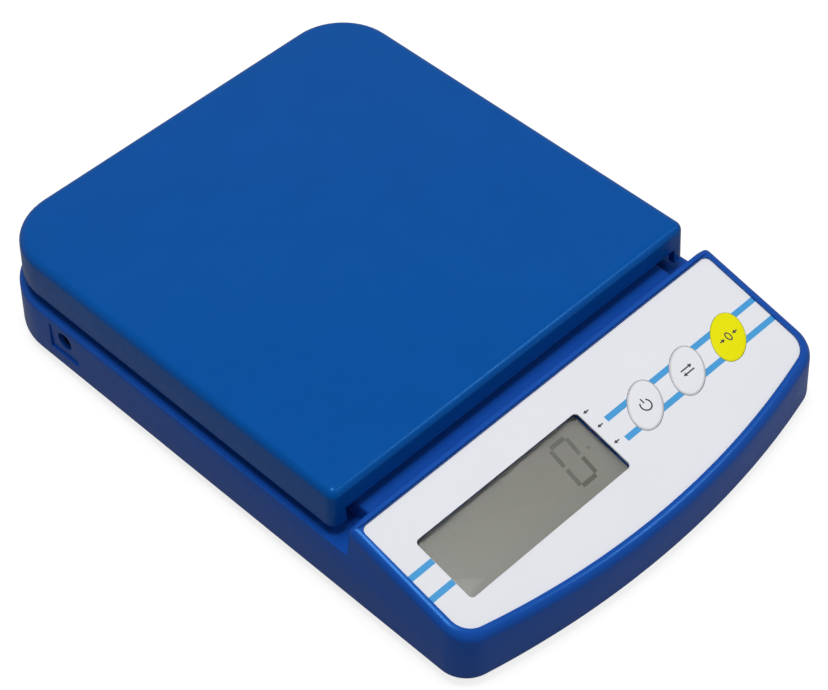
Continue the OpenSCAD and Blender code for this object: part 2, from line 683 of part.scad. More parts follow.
module housing_screws() {
    color(steel) at_bosses() translate([0, 0, base_z + screw_head_h + 0.05]) rotate([180, 0, 0])
        cap_screw(screw_r, screw_l, screw_head_r, screw_head_h);
}
module foot(x, y) {
    color(rubber) translate([x, y, 0]) rotate_extrude()
        polygon(concat([[0, 0]], arc(foot_r - 0.6, 0.6, 0.6, -90, 0, 4),
            [[foot_r, base_z + foot_seat], [0, base_z + foot_seat]]));
}
module foot_front_left() { foot(-foot_x, foot_front_y); }
module foot_front_right() { foot(foot_x, foot_front_y); }
module foot_back_left() { foot(-foot_x, foot_back_y); }
module foot_back_right() { foot(foot_x, foot_back_y); }

// Panel

module at_window() {
    on_panel() translate([-window_left, -window_down - window_l / 2, 0]) children();
}
module panel_label() {
    color(white) on_panel() translate([0, 0, -label_t]) linear_extrude(label_t) difference() {
        plan(label_plan);
        translate([-window_left, -window_down - window_l / 2]) rounded(window_w, window_l, window_r);
        for (i = [0, 1, 2]) translate([key_x(i), -key_down]) key_outline(slide_gap);
    }
}
module display_pane() {
    color([0.8, 0.85, 0.85, 0.35]) at_window() translate([0, 0, -label_t - pane_t])
        linear_extrude(pane_t) rounded(window_w + 4, window_l + 4, window_r);
}
lcd_margin = 3;
lcd_z = -label_t - panel_t - rest_gap - lcd_t;
module lcd_glass() {
    color(grey) at_window() translate([0, 0, lcd_z]) linear_extrude(lcd_t)
        rounded(window_w + 2 * lcd_margin, window_l + 2 * lcd_margin, 0.3);
}
module lcd_strips() {
    strip_w = 2;
    color(rubber) at_window() for (s = [-1, 1])
        translate([-window_w / 2, s * (window_l / 2 + lcd_margin - strip_w / 2 - 0.3) - strip_w / 2, board_top])
            cube([window_w, strip_w, strip_h]);
}
module main_board() {
    color(board_green) on_panel() difference() {
        translate([0, board_y, board_bottom]) linear_extrude(board_t) rounded(2 * board_half, board_l, 1.5);
        for (spot = standoff_spots) translate([spot[0], spot[1], board_bottom - 1])
            cylinder(h = board_t + 2, r = screw_r * 0.8 + screw_gap);
    }
}
module board_screws() {
    color(steel) on_panel() for (spot = standoff_spots) translate([spot[0], spot[1], board_bottom])
        rotate([180, 0, 0]) cap_screw(screw_r * 0.8, board_t + 3.2, screw_r * 1.6, 1);
}
// Chip under its drop of resin, two capacitors, a crystal and three wire headers
header_size = [10, 6, 5];
inlet_header = [-50, -10];
gauge_header = [-10, -10];
power_header = [30, -10];
module board_parts() {
    color(black) on_panel() mirror([0, 0, 1]) translate([0, 0, -board_bottom]) {
        translate([10, board_y, 0]) cylinder(h = 1.6, r1 = 7, r2 = 4);
        translate([-36, board_y, 0]) cylinder(h = 5, r = 3);
        translate([-28, board_y, 0]) cylinder(h = 5, r = 3);
        translate([-20, board_y - 4, 0]) cube([8, 3.5, 3]);
        for (spot = [inlet_header, gauge_header, power_header])
            translate([spot[0] - header_size[0] / 2, spot[1] - header_size[1] / 2, 0]) cube(header_size);
    }
}
switch_h = 1.8;
switch_w = 6;
stem_r = 1.7;
switch_hole_r = stem_r + slide_gap;
module key_switches() {
    color(black) on_panel() for (i = [0, 1, 2]) translate([key_x(i), -key_down, board_top]) difference() {
        translate([-switch_w / 2, -switch_w / 2, 0]) cube([switch_w, switch_w, switch_h]);
        translate([0, 0, switch_h - key_travel - 0.4]) cylinder(h = 2, r = switch_hole_r);
    }
}
// A key: leaning oval cap, flange under the panel and a stem down to its switch
flange_w = 1;
flange_t = 0.8;
module key(i, tint) {
    flange_top = -label_t - panel_t - rest_gap;
    stem_end = board_top + switch_h + 0.05;
    color(tint) on_panel() translate([key_x(i), -key_down, 0]) {
        translate([0, 0, flange_top - 0.1]) linear_extrude(key_proud - flange_top + 0.1) key_outline();
        translate([0, 0, flange_top - flange_t]) linear_extrude(flange_t) key_outline(flange_w);
        translate([0, 0, stem_end]) cylinder(h = flange_top - flange_t / 2 - stem_end, r = stem_r);
    }
}
module key_power() { key(0, white); }
module key_units() { key(1, white); }
module key_tare() { key(2, yellow); }

// Power

// Battery door: a plate with two tongues over the cover and ribs under the thumb
module battery_door() {
    color(blue) difference() {
        union() {
            span([door_x0, door_y0, base_z], [door_x1, door_y1, base_z + door_t]);
            at_tongues() {
                span([-tongue_w / 2, 0, base_z + door_t - 0.1], [tongue_w / 2, 0.75, cover_top + 1.2]);
                span([-tongue_w / 2, -tongue_l, cover_top + 0.25], [tongue_w / 2, 0.75, cover_top + 1.2]);
            }
        }
        for (i = [0 : 3]) translate([battery_x - 9, door_y1 - 4 - 2.4 * i, base_z - 0.1]) cube([18, 1.2, 0.6]);
    }
}
button_r = 2.7;
button_h = 1.3;
function battery_y0() = box_y0 + plate_room;
module battery(i) {
    turned = i == 1 ? 1 : 0;
    color(i == 1 ? steel : black)
        translate([battery_x + (i - 1) * battery_pitch, battery_y0() + battery_l / 2, battery_z])
        rotate([90, 0, turned * 180]) translate([0, 0, -battery_l / 2]) {
            translate([0, 0, 0.4]) cylinder(h = battery_l - 0.4 - button_h, r = battery_d / 2);
            cylinder(h = battery_l, r = button_r);
        }
}
module battery_cell_left() { battery(0); }
module battery_cell_middle() { battery(1); }
module battery_cell_right() { battery(2); }
// Conical springs at the box's back wall and flat plates at its front wall
spring_wire_r = 0.35;
spring_turns = 3.5;
spring_steps = 14;
contact_half = 5.2;
contact_t = 0.5;
spring_small_r = 2.2;
spring_large_r = 5;
module battery_spring(i) {
    y1 = box_y1 - contact_t - 0.1;
    y0 = battery_y0() + battery_l + spring_wire_r + rest_gap;
    coil = [for (k = [0 : spring_turns * spring_steps])
        let (t = k / (spring_turns * spring_steps), r = spring_small_r + (spring_large_r - spring_small_r) * t)
        [r * cos(k * 360 / spring_steps), y0 + (y1 - y0) * t, r * sin(k * 360 / spring_steps)]];
    translate([battery_x + (i - 1) * battery_pitch, 0, battery_z]) {
        tube(coil, spring_wire_r, [0, 1, 0]);
        span([-contact_half, y1, -contact_half], [contact_half, box_y1, contact_half]);
    }
}
module battery_springs() {
    color(steel) for (i = [0, 1, 2]) battery_spring(i);
}
module battery_plates() {
    color(steel) for (i = [0, 1, 2]) translate([battery_x + (i - 1) * battery_pitch, 0, battery_z])
        span([-contact_half, box_y0, -contact_half], [contact_half, box_y0 + contact_t, contact_half]);
}
inlet_floor = 1.5;
pin_back = 2.6;
module power_inlet() {
    color(black) difference() {
        span([-inlet_face, inlet_y - inlet_w / 2, inlet_z - inlet_h / 2],
            [inlet_deep - inlet_face, inlet_y + inlet_w / 2, inlet_z + inlet_h / 2]);
        translate([-inlet_face - 1, inlet_y, inlet_z]) rotate([0, 90, 0])
            cylinder(h = inlet_deep - inlet_floor + 1, r = inlet_bore_r);
    }
}
module inlet_pin() {
    color(steel) translate([-inlet_face + pin_back, inlet_y, inlet_z]) rotate([0, 90, 0])
        cylinder(h = inlet_deep - inlet_floor - pin_back, r = inlet_pin_r);
}

// Leads; each route is a list of round points, from its terminal to the board
gauge_route = [[-6.6, 22, 16], [-11, 17, 14], [-13, 5, 9], [-14, -15, 7], [-14, -35, 8], [-12, -50, 11], [-10, -57, 15]];
battery_route = [[14, -1.4, 8], [13, -8, 7], [12, -26, 7], [14, -38, 8], [22, -48, 11], [28, -57, 15]];
inlet_route = [[-59, 70, 13], [-54, 66, 11], [-52, 50, 7.5], [-51, 10, 7], [-51, -30, 7.5], [-50.5, -48, 10],
    [-50, -56.5, 15]];
gauge_lead_r = 1.1;
lead_r = 0.6;
module gauge_lead() {
    color(grey) tube(route(gauge_route, 6), gauge_lead_r);
}
module battery_leads() {
    color("firebrick") for (s = [0, 1]) translate([1.8 * s, 0, 0]) tube(route(battery_route, 6), lead_r);
}
module inlet_leads() {
    color("firebrick") for (s = [0, 1]) translate([1.6 * s, 0, 0]) tube(route(inlet_route, 6), lead_r);
}

platform();
platform_pads();
carrier();
carrier_screws();
top_spacer();
load_cell();
gauge_seal();
base_spacer();
base_screws();
overload_stop();
upper_housing();
bottom_cover();
housing_screws();
foot_front_left();
foot_front_right();
foot_back_left();
foot_back_right();
panel_label();
display_pane();
lcd_glass();
lcd_strips();
main_board();
board_screws();
board_parts();
key_switches();
key_power();
key_units();
key_tare();
battery_door();
battery_cell_left();
battery_cell_middle();
battery_cell_right();
battery_springs();
battery_plates();
power_inlet();
inlet_pin();
gauge_lead();
battery_leads();
inlet_leads();
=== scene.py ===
# %% [markdown]
# # A compact balance, dressed in Blender
#
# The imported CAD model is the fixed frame: every solid in it is already the right size and in the right
# place. What it lacks is what the eye lives on: rounded edges that catch the light, printed film, moulded
# plastic and a display. Each piece that shows is therefore modelled again over its solid, in millimetres,
# and then shrunk to metres. The pieces that hide inside keep their CAD mesh and only get a finish.

from math import asin, atan2, cos, pi, radians, sin, sqrt, tan

import bmesh
import bpy
from mathutils import Matrix, Vector


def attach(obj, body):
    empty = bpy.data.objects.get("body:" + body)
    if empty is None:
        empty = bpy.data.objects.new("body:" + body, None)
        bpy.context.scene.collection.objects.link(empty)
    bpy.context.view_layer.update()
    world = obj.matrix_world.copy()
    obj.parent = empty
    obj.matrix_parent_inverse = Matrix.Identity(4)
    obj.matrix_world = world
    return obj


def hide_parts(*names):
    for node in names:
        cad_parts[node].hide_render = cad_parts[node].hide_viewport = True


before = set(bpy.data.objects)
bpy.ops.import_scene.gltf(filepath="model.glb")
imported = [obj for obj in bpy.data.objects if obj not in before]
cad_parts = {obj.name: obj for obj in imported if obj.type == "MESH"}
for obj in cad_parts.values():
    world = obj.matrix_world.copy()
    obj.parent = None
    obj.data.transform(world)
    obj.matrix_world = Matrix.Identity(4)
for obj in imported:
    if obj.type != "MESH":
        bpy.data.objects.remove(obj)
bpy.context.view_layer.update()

# %% [markdown]
# ## The sizes that everything shares
#
# The platform stands behind, and the panel slopes down in front of it. These are the same values as in the
# CAD source, so that each new piece lies on its solid. A plan is a rounded outline seen from above: half
# width, back, front, front corner radius, back corner radius, and the radius of the bowed front (0 for a
# straight one). PANEL is the place of the sloping panel: what is drawn flat round the origin lands on the
# panel with it.

# %% Shared sizes, in millimetres
BASE_PLAN = (74.7, 104.2, -104.2, 10.0, 22.0, 285.0)
PLATFORM_PLAN = (72.5, 102.2, -44.3, 3.4, 20.0, 0.0)
LABEL_PLAN = (70.8, 0.0, -48.95, 6.5, 2.2, 278.0)
FOOT_H = 1.6
PLATFORM_TOP = 37.4
SKIRT_Z = 24.0
LEDGE_Z = 20.3
DECK_Z = 25.5
HOOD_BACK = -50.7
RIM_H = 0.6
PANEL_TILT = radians(14.7)
LABEL_BACK = Vector((0.0, -53.1, 30.9))
PANEL = Matrix.Translation(LABEL_BACK) @ Matrix.Rotation(PANEL_TILT, 4, "X")
print("panel normal:", [round(v, 4) for v in (PANEL.to_3x3() @ Vector((0, 0, 1)))])

# %% [markdown]
# ## From a bmesh to a finished piece
#
# Every piece goes through the same door: millimetres become metres, faces that meet at a gentle angle are
# shaded smooth, the object stays at the origin, and the piece is told which moving body it rides on.
# Marking the sharp edges one by one keeps flat faces flat, where smooth shading alone would bend the light
# on them.

# %% Finishing helpers
SMOOTH_BELOW = radians(32)


def report(label, bm):
    """Prints how many faces a bmesh has, and whether it is closed."""
    open_edges = sum(not edge.is_manifold for edge in bm.edges)
    print(f"{label}: {len(bm.faces)} faces, {open_edges} open edges")


def finish_piece(bm, name, body, materials, replaces=()):
    """Makes an object in metres from a bmesh in millimetres. The bmesh is used up."""
    bmesh.ops.scale(bm, vec=(0.001,) * 3, verts=bm.verts)
    for face in bm.faces:
        face.smooth = True
    for edge in bm.edges:
        edge.smooth = len(edge.link_faces) == 2 and edge.calc_face_angle(0) < SMOOTH_BELOW
    mesh = bpy.data.meshes.new(name)
    bm.to_mesh(mesh)
    bm.free()
    for finish in materials:
        mesh.materials.append(finish)
    piece = bpy.data.objects.new(name, mesh)
    bpy.context.scene.collection.objects.link(piece)
    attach(piece, body)
    if replaces:
        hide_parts(*replaces)
    print(f"{name}: {len(mesh.polygons)} faces on body {body}")


# %% [markdown]
# ## An outline from arcs
#
# Moulded housings are drawn as straight runs and tangent arcs. Spinning a single vertex about each corner's
# centre gives exact arcs, and the straight runs are the edges between them. A bevelled rectangle would do
# for the corners, but not for the bowed front, whose ends have to meet the corner arcs without a kink.

# %% Outlines
def spin_arc(bm, centre, radius, start, sweep, steps, z):
    """A chain of vertices on an arc, in order."""
    x = centre[0] + radius * cos(start)
    y = centre[1] + radius * sin(start)
    chain = [bm.verts.new((x, y, z))]
    grown = bmesh.ops.spin(bm, geom=chain, cent=(*centre, z), axis=(0, 0, 1), dvec=(0, 0, 0),
                           angle=sweep, steps=steps, use_duplicate=False)
    last = grown["geom_last"][0]
    done = {chain[0]}
    while chain[-1] is not last:
        around = [edge.other_vert(chain[-1]) for edge in chain[-1].link_edges]
        chain.append([vert for vert in around if vert not in done][0])
        done.add(chain[-1])
    return chain


def plan_loop(bm, plan, grow, z, corner_steps=14, front_steps=56):
    """A closed outline of edges at height z, grown outwards by grow."""
    half, back, front, front_r, back_r, bow = plan
    corner_x = half - front_r
    if bow:
        bow_y = front + bow
        corner_y = bow_y - sqrt((bow - front_r) ** 2 - corner_x ** 2)
        spread = asin(corner_x / (bow - front_r))
    else:
        corner_y = front + front_r
        spread = 0.0
    turn = pi / 2 - spread
    front_right = (corner_x, corner_y)
    front_left = (-corner_x, corner_y)
    back_right = (half - back_r, back - back_r)
    back_left = (back_r - half, back - back_r)
    chains = [
        spin_arc(bm, front_right, front_r + grow, -turn, turn, corner_steps, z),
        spin_arc(bm, back_right, back_r + grow, 0, pi / 2, corner_steps, z),
        spin_arc(bm, back_left, back_r + grow, pi / 2, pi / 2, corner_steps, z),
        spin_arc(bm, front_left, front_r + grow, pi, turn, corner_steps, z),
    ]
    if bow:
        bowed = spin_arc(bm, (0, bow_y), bow + grow, -pi / 2 - spread, 2 * spread, front_steps, z)
        chains.append(bowed[1:-1])
    verts = [vert for chain in chains for vert in chain]
    edges = []
    for a, b in zip(verts, verts[1:] + verts[:1]):
        edges.append(bm.edges.get((a, b)) or bm.edges.new((a, b)))
    loose = {edge for vert in verts for edge in vert.link_edges if edge not in edges}
    bmesh.ops.delete(bm, geom=list(loose), context="EDGES_FACES")
    stray = [vert for vert in bm.verts if not vert.link_edges]
    bmesh.ops.delete(bm, geom=stray, context="VERTS")
    return edges


# %% [markdown]
# ## Walls from a section
#
# A moulded wall has a section: a soft foot, a slight lean so that it leaves the mould, a rounded shoulder.
# The outline is laid again at each step of the section, with its own height and its own growth, and
# bridging neighbouring outlines makes the wall. Extruding and scaling would change the corner radii by the
# wrong amount, and a sweep along the outline would leave the two caps to be filled by hand.

# %% Walls
def close_shape(bm, loops):
    """Bridges loops of edges from first to last and caps both ends."""
    for below, above in zip(loops, loops[1:]):
        bmesh.ops.bridge_loops(bm, edges=below + above)
    bmesh.ops.contextual_create(bm, geom=loops[0])
    bmesh.ops.contextual_create(bm, geom=loops[-1])
    bmesh.ops.recalc_face_normals(bm, faces=bm.faces)


def wall(bm, plan, section):
    """A closed shape with the plan's outline at each (grow, z) step of the section."""
    close_shape(bm, [plan_loop(bm, plan, grow, z) for grow, z in section])


def arc_steps(cx, cz, radius, start, end, steps):
    """Points on a section's rounded corner, with its angles in degrees."""
    angles = [radians(start + (end - start) * i / steps) for i in range(steps + 1)]
    return [(cx + radius * cos(angle), cz + radius * sin(angle)) for angle in angles]


def lean_in(z, foot, degrees_in):
    """How far a wall that leans inwards has come in at height z."""
    return -(z - foot) * tan(radians(degrees_in))


trial = bmesh.new()
wall(trial, BASE_PLAN, [(0, 0), (0, 10)])
report("trial wall", trial)
trial.free()

# %% [markdown]
# ## Boxes and prisms to cut with
#
# Openings in a moulding are made by the mould, as plain cuts. Here the tool for each one is a small closed
# shape of its own. A cube, a cylinder and a circle cover them all, with a bevel where a corner is round.
# The keys lean across the panel, so their opening is a circle that is stretched, turned and moved.

# %% Shapes to cut with
KEYS = {"key_power": 18.95, "key_units": 37.0, "key_tare": 55.05}
KEY_V = -23.1
KEY_LONG = 8.1
KEY_SHORT = 5.2
KEY_LEAN = radians(45.5)


def box_tool(low, high, place=Matrix()):
    bm = bmesh.new()
    low = Vector(low)
    high = Vector(high)
    made = bmesh.ops.create_cube(bm, size=1.0)["verts"]
    bmesh.ops.scale(bm, vec=high - low, verts=made)
    bmesh.ops.translate(bm, vec=(high + low) / 2, verts=made)
    bm.transform(place)
    return bm


def cylinder_tool(a, b, radius):
    """A cylinder from point a to point b."""
    bm = bmesh.new()
    bmesh.ops.create_cone(bm, cap_ends=True, segments=48, radius1=radius, radius2=radius,
                          depth=(b - a).length)
    turn = (b - a).to_track_quat("Z", "Y").to_matrix().to_4x4()
    bm.transform(Matrix.Translation((a + b) / 2) @ turn)
    return bm


def loop_edges(verts):
    return list({edge for vert in verts for edge in vert.link_edges if all(v in verts for v in edge.verts)})


def key_loop(bm, x, grow, z):
    """The edges of a key's outline: an oval whose long axis leans."""
    made = bmesh.ops.create_circle(bm, cap_ends=False, radius=1.0, segments=64)["verts"]
    bmesh.ops.scale(bm, vec=(KEY_LONG + grow, KEY_SHORT + grow, 1), verts=made)
    bmesh.ops.rotate(bm, cent=(0, 0, 0), matrix=Matrix.Rotation(KEY_LEAN, 3, "Z"), verts=made)
    bmesh.ops.translate(bm, vec=(x, KEY_V, z), verts=made)
    return loop_edges(made)


def key_tool(x, grow, low, high):
    bm = bmesh.new()
    close_shape(bm, [key_loop(bm, x, grow, z) for z in (low, high)])
    bm.transform(PANEL)
    return bm


def label_tool(grow, low, high):
    bm = bmesh.new()
    wall(bm, LABEL_PLAN, [(grow, low), (grow, high)])
    bm.transform(PANEL)
    return bm


# %% [markdown]
# ## The window's outline
#
# The display's window, the hole in the label, the clear pane and the glass under it are all the same
# rounded rectangle, larger or smaller. One prism serves for all of them: a box whose upright edges are
# bevelled.

# %% Window prism
WINDOW_X = -30.2
WINDOW_Y = -22.95
WINDOW_W = 63.5
WINDOW_L = 21.9
WINDOW_R = 1.4


def window_prism(grow, radius, low, high):
    """The window's outline, grown by grow on each side, between two heights over the flat panel."""
    half_w = WINDOW_W / 2 + grow
    half_l = WINDOW_L / 2 + grow
    bm = box_tool((WINDOW_X - half_w, WINDOW_Y - half_l, low), (WINDOW_X + half_w, WINDOW_Y + half_l, high))
    upright = [edge for edge in bm.edges if abs(edge.verts[0].co.z - edge.verts[1].co.z) > 1e-6]
    bmesh.ops.bevel(bm, geom=upright, offset=radius, offset_type="OFFSET", segments=6, profile=0.5,
                    affect="EDGES", material=-1)
    return bm


def window_tool(grow, low, high):
    bm = window_prism(grow, WINDOW_R, low, high)
    bm.transform(PANEL)
    return bm


# %% [markdown]
# ## Cuts and rounded edges
#
# A cut goes through a boolean modifier with the exact solver, because it keeps a hole just as large as the
# CAD says and leaves the shell closed. Long edges are rounded by a Bevel modifier that reads a weight from
# each edge: the weights are set by small tests, such as whether an edge lies in the plane of the rim. Both
# work on scratch objects, whose result is read back into a bmesh, so nothing live is left on the finished
# pieces.

# %% Cutting and rounding
MERGE = 1e-4


def scratch_object(bm, name):
    mesh = bpy.data.meshes.new(name)
    bm.to_mesh(mesh)
    bm.free()
    thing = bpy.data.objects.new(name, mesh)
    bpy.context.scene.collection.objects.link(thing)
    return thing


def read_back(body, others=()):
    """The modified mesh of a scratch object. It and the others are thrown away."""
    bpy.context.view_layer.update()
    solid = body.evaluated_get(bpy.context.evaluated_depsgraph_get())
    result = bmesh.new()
    result.from_mesh(solid.to_mesh())
    for thing in (body, *others):
        mesh = thing.data
        bpy.data.objects.remove(thing)
        bpy.data.meshes.remove(mesh)
    bmesh.ops.remove_doubles(result, verts=result.verts, dist=MERGE)
    return result


def carved(bm, tools, operation="DIFFERENCE"):
    """bm with every tool cut from it (or joined to it). The tools are used up."""
    body = scratch_object(bm, "carve_body")
    cutters = [scratch_object(tool, "carve_tool") for tool in tools]
    for cutter in cutters:
        step = body.modifiers.new("cut", "BOOLEAN")
        step.operation = operation
        step.solver = "EXACT"
        step.object = cutter
    return read_back(body, cutters)


def rounded_edges(bm, shares, width, segments):
    """Rounds edges. shares pairs each edge test with its share of the width."""
    bm.normal_update()
    layer = bm.edges.layers.float.get("bevel_weight_edge") or bm.edges.layers.float.new("bevel_weight_edge")
    count = 0
    for edge in bm.edges:
        passed = [share for belongs, share in shares if belongs(edge)]
        edge[layer] = passed[0] if passed else 0.0
        count += bool(passed)
    body = scratch_object(bm, "round_body")
    step = body.modifiers.new("round", "BEVEL")
    step.limit_method = "WEIGHT"
    step.width = width
    step.segments = segments
    step.profile = 0.5
    step.use_clamp_overlap = False
    step.miter_outer = "MITER_SHARP"
    print("rounded", count, "edges")
    return read_back(body)


# %% [markdown]
# ## Materials
#
# The whole shell is dyed plastic with a fine spark-eroded grain: the dye is even, the gloss wanders a
# little, and a very small bump breaks up reflections. An image would do it too, but noise on the object's
# own coordinates has no seams and no repeats. Each noise has a scale in cells per metre.

# %% Node helpers
DYE_CLOUDS = 60
GLOSS_PATCHES = 220
GRAIN_DOTS = 3200
GRAIN_STRENGTH = 0.04
GRAIN_DEPTH = 0.00004
GLOSS_WANDER = 0.04


def linear(*levels):
    """An sRGB colour in 0..255 as the linear numbers that shaders use."""
    shares = [level / 255 for level in levels]
    return tuple(s / 12.92 if s <= 0.04045 else ((s + 0.055) / 1.055) ** 2.4 for s in shares) + (1.0,)


def shaded(color, factor):
    """A colour made darker or lighter by a factor."""
    return tuple(min(1.0, c * factor) for c in color[:3]) + (1.0,)


def material(name, color, roughness, metallic=0.0, **inputs):
    made = bpy.data.materials.new(name)
    made.use_nodes = True
    shader = made.node_tree.nodes["Principled BSDF"]
    shader.inputs["Base Color"].default_value = color
    shader.inputs["Roughness"].default_value = roughness
    shader.inputs["Metallic"].default_value = metallic
    for key, value in inputs.items():
        shader.inputs[key.replace("_", " ")].default_value = value
    return made, made.node_tree, shader


def object_place(tree, stretch=(1, 1, 1)):
    place = tree.nodes.new("ShaderNodeMapping")
    place.inputs["Scale"].default_value = stretch
    tree.links.new(tree.nodes.new("ShaderNodeTexCoord").outputs["Object"], place.inputs["Vector"])
    return place.outputs["Vector"]


def noise(tree, vector, scale, detail=2.0):
    made = tree.nodes.new("ShaderNodeTexNoise")
    made.inputs["Scale"].default_value = scale
    made.inputs["Detail"].default_value = detail
    tree.links.new(vector, made.inputs["Vector"])
    return made.outputs["Fac"]


def spread(tree, value, low, high):
    """Maps a noise value onto low..high."""
    made = tree.nodes.new("ShaderNodeMapRange")
    made.inputs["From Min"].default_value = 0.3
    made.inputs["From Max"].default_value = 0.7
    made.inputs["To Min"].default_value = low
    made.inputs["To Max"].default_value = high
    tree.links.new(value, made.inputs["Value"])
    return made.outputs["Result"]


def mixed(tree, factor, first, second):
    made = tree.nodes.new("ShaderNodeMix")
    made.data_type = "RGBA"
    made.inputs["A"].default_value = first
    made.inputs["B"].default_value = second
    tree.links.new(factor, made.inputs["Factor"])
    return made.outputs["Result"]


def bump(tree, shader, height, strength, distance):
    made = tree.nodes.new("ShaderNodeBump")
    made.inputs["Strength"].default_value = strength
    made.inputs["Distance"].default_value = distance
    tree.links.new(height, made.inputs["Height"])
    tree.links.new(made.outputs["Normal"], shader.inputs["Normal"])


# %% [markdown]
# ## Plastics, rubber and print
#
# Dye, print, rubber and board all share one recipe: clouded colour, wandering gloss, fine grain. Only the
# numbers differ. The two blues have a blue tint on their mirror share, so that the white surroundings don't
# wash out the dark walls. The printed film and the keys mirror little, as matt film does.

# %% Plastics
def moulded(name, color, roughness, grain=1.0, tint=0.06, **inputs):
    """Dyed plastic: clouded dye, wandering gloss, fine grain."""
    made, tree, shader = material(name, color, roughness, **inputs)
    where = object_place(tree)
    clouds = mixed(tree, noise(tree, where, DYE_CLOUDS, 3), shaded(color, 1 - tint), shaded(color, 1 + tint))
    tree.links.new(clouds, shader.inputs["Base Color"])
    patches = noise(tree, where, GLOSS_PATCHES)
    gloss = spread(tree, patches, roughness - GLOSS_WANDER, roughness + GLOSS_WANDER)
    tree.links.new(gloss, shader.inputs["Roughness"])
    bump(tree, shader, noise(tree, where, GRAIN_DOTS, 1), GRAIN_STRENGTH * grain, GRAIN_DEPTH)
    return made


GLINT = (0.12, 0.46, 1.0, 1.0)
SHELL_BLUE = moulded("shell_blue", linear(22, 76, 168), 0.25,
                     Specular_IOR_Level=0.6, Specular_Tint=GLINT)
PLATFORM_BLUE = moulded("platform_blue", linear(2, 78, 158), 0.27,
                        Specular_IOR_Level=0.5, Specular_Tint=GLINT)
LABEL_WHITE = moulded("label_white", linear(230, 232, 237), 0.42, grain=0.3, tint=0.012,
                      Specular_IOR_Level=0.2)
PRINT_BLUE = moulded("print_blue", linear(72, 158, 218), 0.42, grain=0.3, tint=0.02,
                     Specular_IOR_Level=0.2)
KEY_YELLOW = moulded("key_yellow", linear(234, 230, 0), 0.42, grain=0.3, tint=0.02,
                     Specular_IOR_Level=0.12)
PRINT_DARK = moulded("print_dark", linear(56, 56, 62), 0.45, grain=0.3, tint=0.05)
# Painted shade: this light grey goes on the white keys' rounded edge and stands for the shade of the gap
# round each key.
KEY_GAP_SHADE = moulded("key_gap_shade", linear(205, 206, 210), 0.4, grain=0.3, tint=0.02)
LCD_GREY = moulded("lcd_grey", linear(146, 145, 138), 0.4, grain=0.2, tint=0.01)
LCD_MARK = moulded("lcd_mark", linear(104, 104, 98), 0.4, grain=0.2, tint=0.02)
RUBBER = moulded("foot_rubber", linear(36, 36, 38), 0.75, grain=2.0, tint=0.1)
BLACK_PLASTIC = moulded("black_plastic", linear(28, 28, 30), 0.45)
CARRIER_GREY = moulded("carrier_grey", linear(120, 124, 128), 0.5)
SILICONE = moulded("silicone", linear(225, 224, 215), 0.5)
BOARD_GREEN = moulded("board_green", linear(24, 96, 52), 0.3, tint=0.12)
CELL_JACKET = moulded("cell_jacket", linear(52, 54, 60), 0.25, grain=0.2)
WIRE_RED = moulded("wire_red", linear(176, 30, 26), 0.4)
WIRE_GREY = moulded("wire_grey", linear(118, 118, 122), 0.45)
print("materials in the scene:", len(bpy.data.materials))

# %% [markdown]
# ## Metals and the clear pane
#
# Metal is a conductor whose gloss is broken by fine scratches. Stretching the noise along one axis turns
# its blots into scratches that run one way, as a mill or a drawing die leaves them. The pane over the
# display only mirrors and lets light through. It bends light less than real acrylic would, which keeps the
# glass under it clear of grey mirror images.

# %% Metals and the clear pane
SCRATCHES = 900
DULL_PATCHES = 120
SCRATCH_BUMPS = 1400


def metal(name, color, roughness, stretch):
    made, tree, shader = material(name, color, roughness, metallic=1.0)
    where = object_place(tree, stretch)
    gloss = spread(tree, noise(tree, where, SCRATCHES, 4), roughness - 0.08, roughness + 0.1)
    tree.links.new(gloss, shader.inputs["Roughness"])
    patches = mixed(tree, noise(tree, where, DULL_PATCHES), shaded(color, 0.9), color)
    tree.links.new(patches, shader.inputs["Base Color"])
    bump(tree, shader, noise(tree, where, SCRATCH_BUMPS, 2), 0.15, 0.00003)
    return made


def clear_pane():
    made, tree, shader = material("clear_pane", linear(252, 252, 252), 0.02,
                                  Transmission_Weight=1.0, IOR=1.12)
    gloss = spread(tree, noise(tree, object_place(tree), 40), 0.018, 0.022)
    tree.links.new(gloss, shader.inputs["Roughness"])
    return made


ZINC = metal("zinc_screw", linear(196, 198, 202), 0.32, (1, 1, 1))
MILLED = metal("milled_aluminium", linear(214, 216, 220), 0.34, (1, 12, 1))
NICKEL = metal("nickel_contact", linear(208, 206, 200), 0.22, (1, 1, 6))
CLEAR = clear_pane()
print("materials in the scene:", len(bpy.data.materials))

# %% [markdown]
# ## The platform
#
# The weighing platform is a shallow tray turned upside down: a flat plate, a skirt that leans in a little
# towards the top so that it leaves the mould, and a soft round edge between them. A solidified surface
# could give the thickness, but it rounds the lip badly. So the wall is bridged through its whole section,
# from the inside of the plate, round the lip and up to the top. The front skirt is cut short over the
# raised deck, which leaves a leg at each side.

# %% Platform
PLATFORM_T = 2.2
PLATFORM_DRAFT = 2.5
PLATFORM_EDGE_R = 2.8
SKIRT_STEP = 6.5
NOTCH_H = 5.5
LEG_W = 5.0


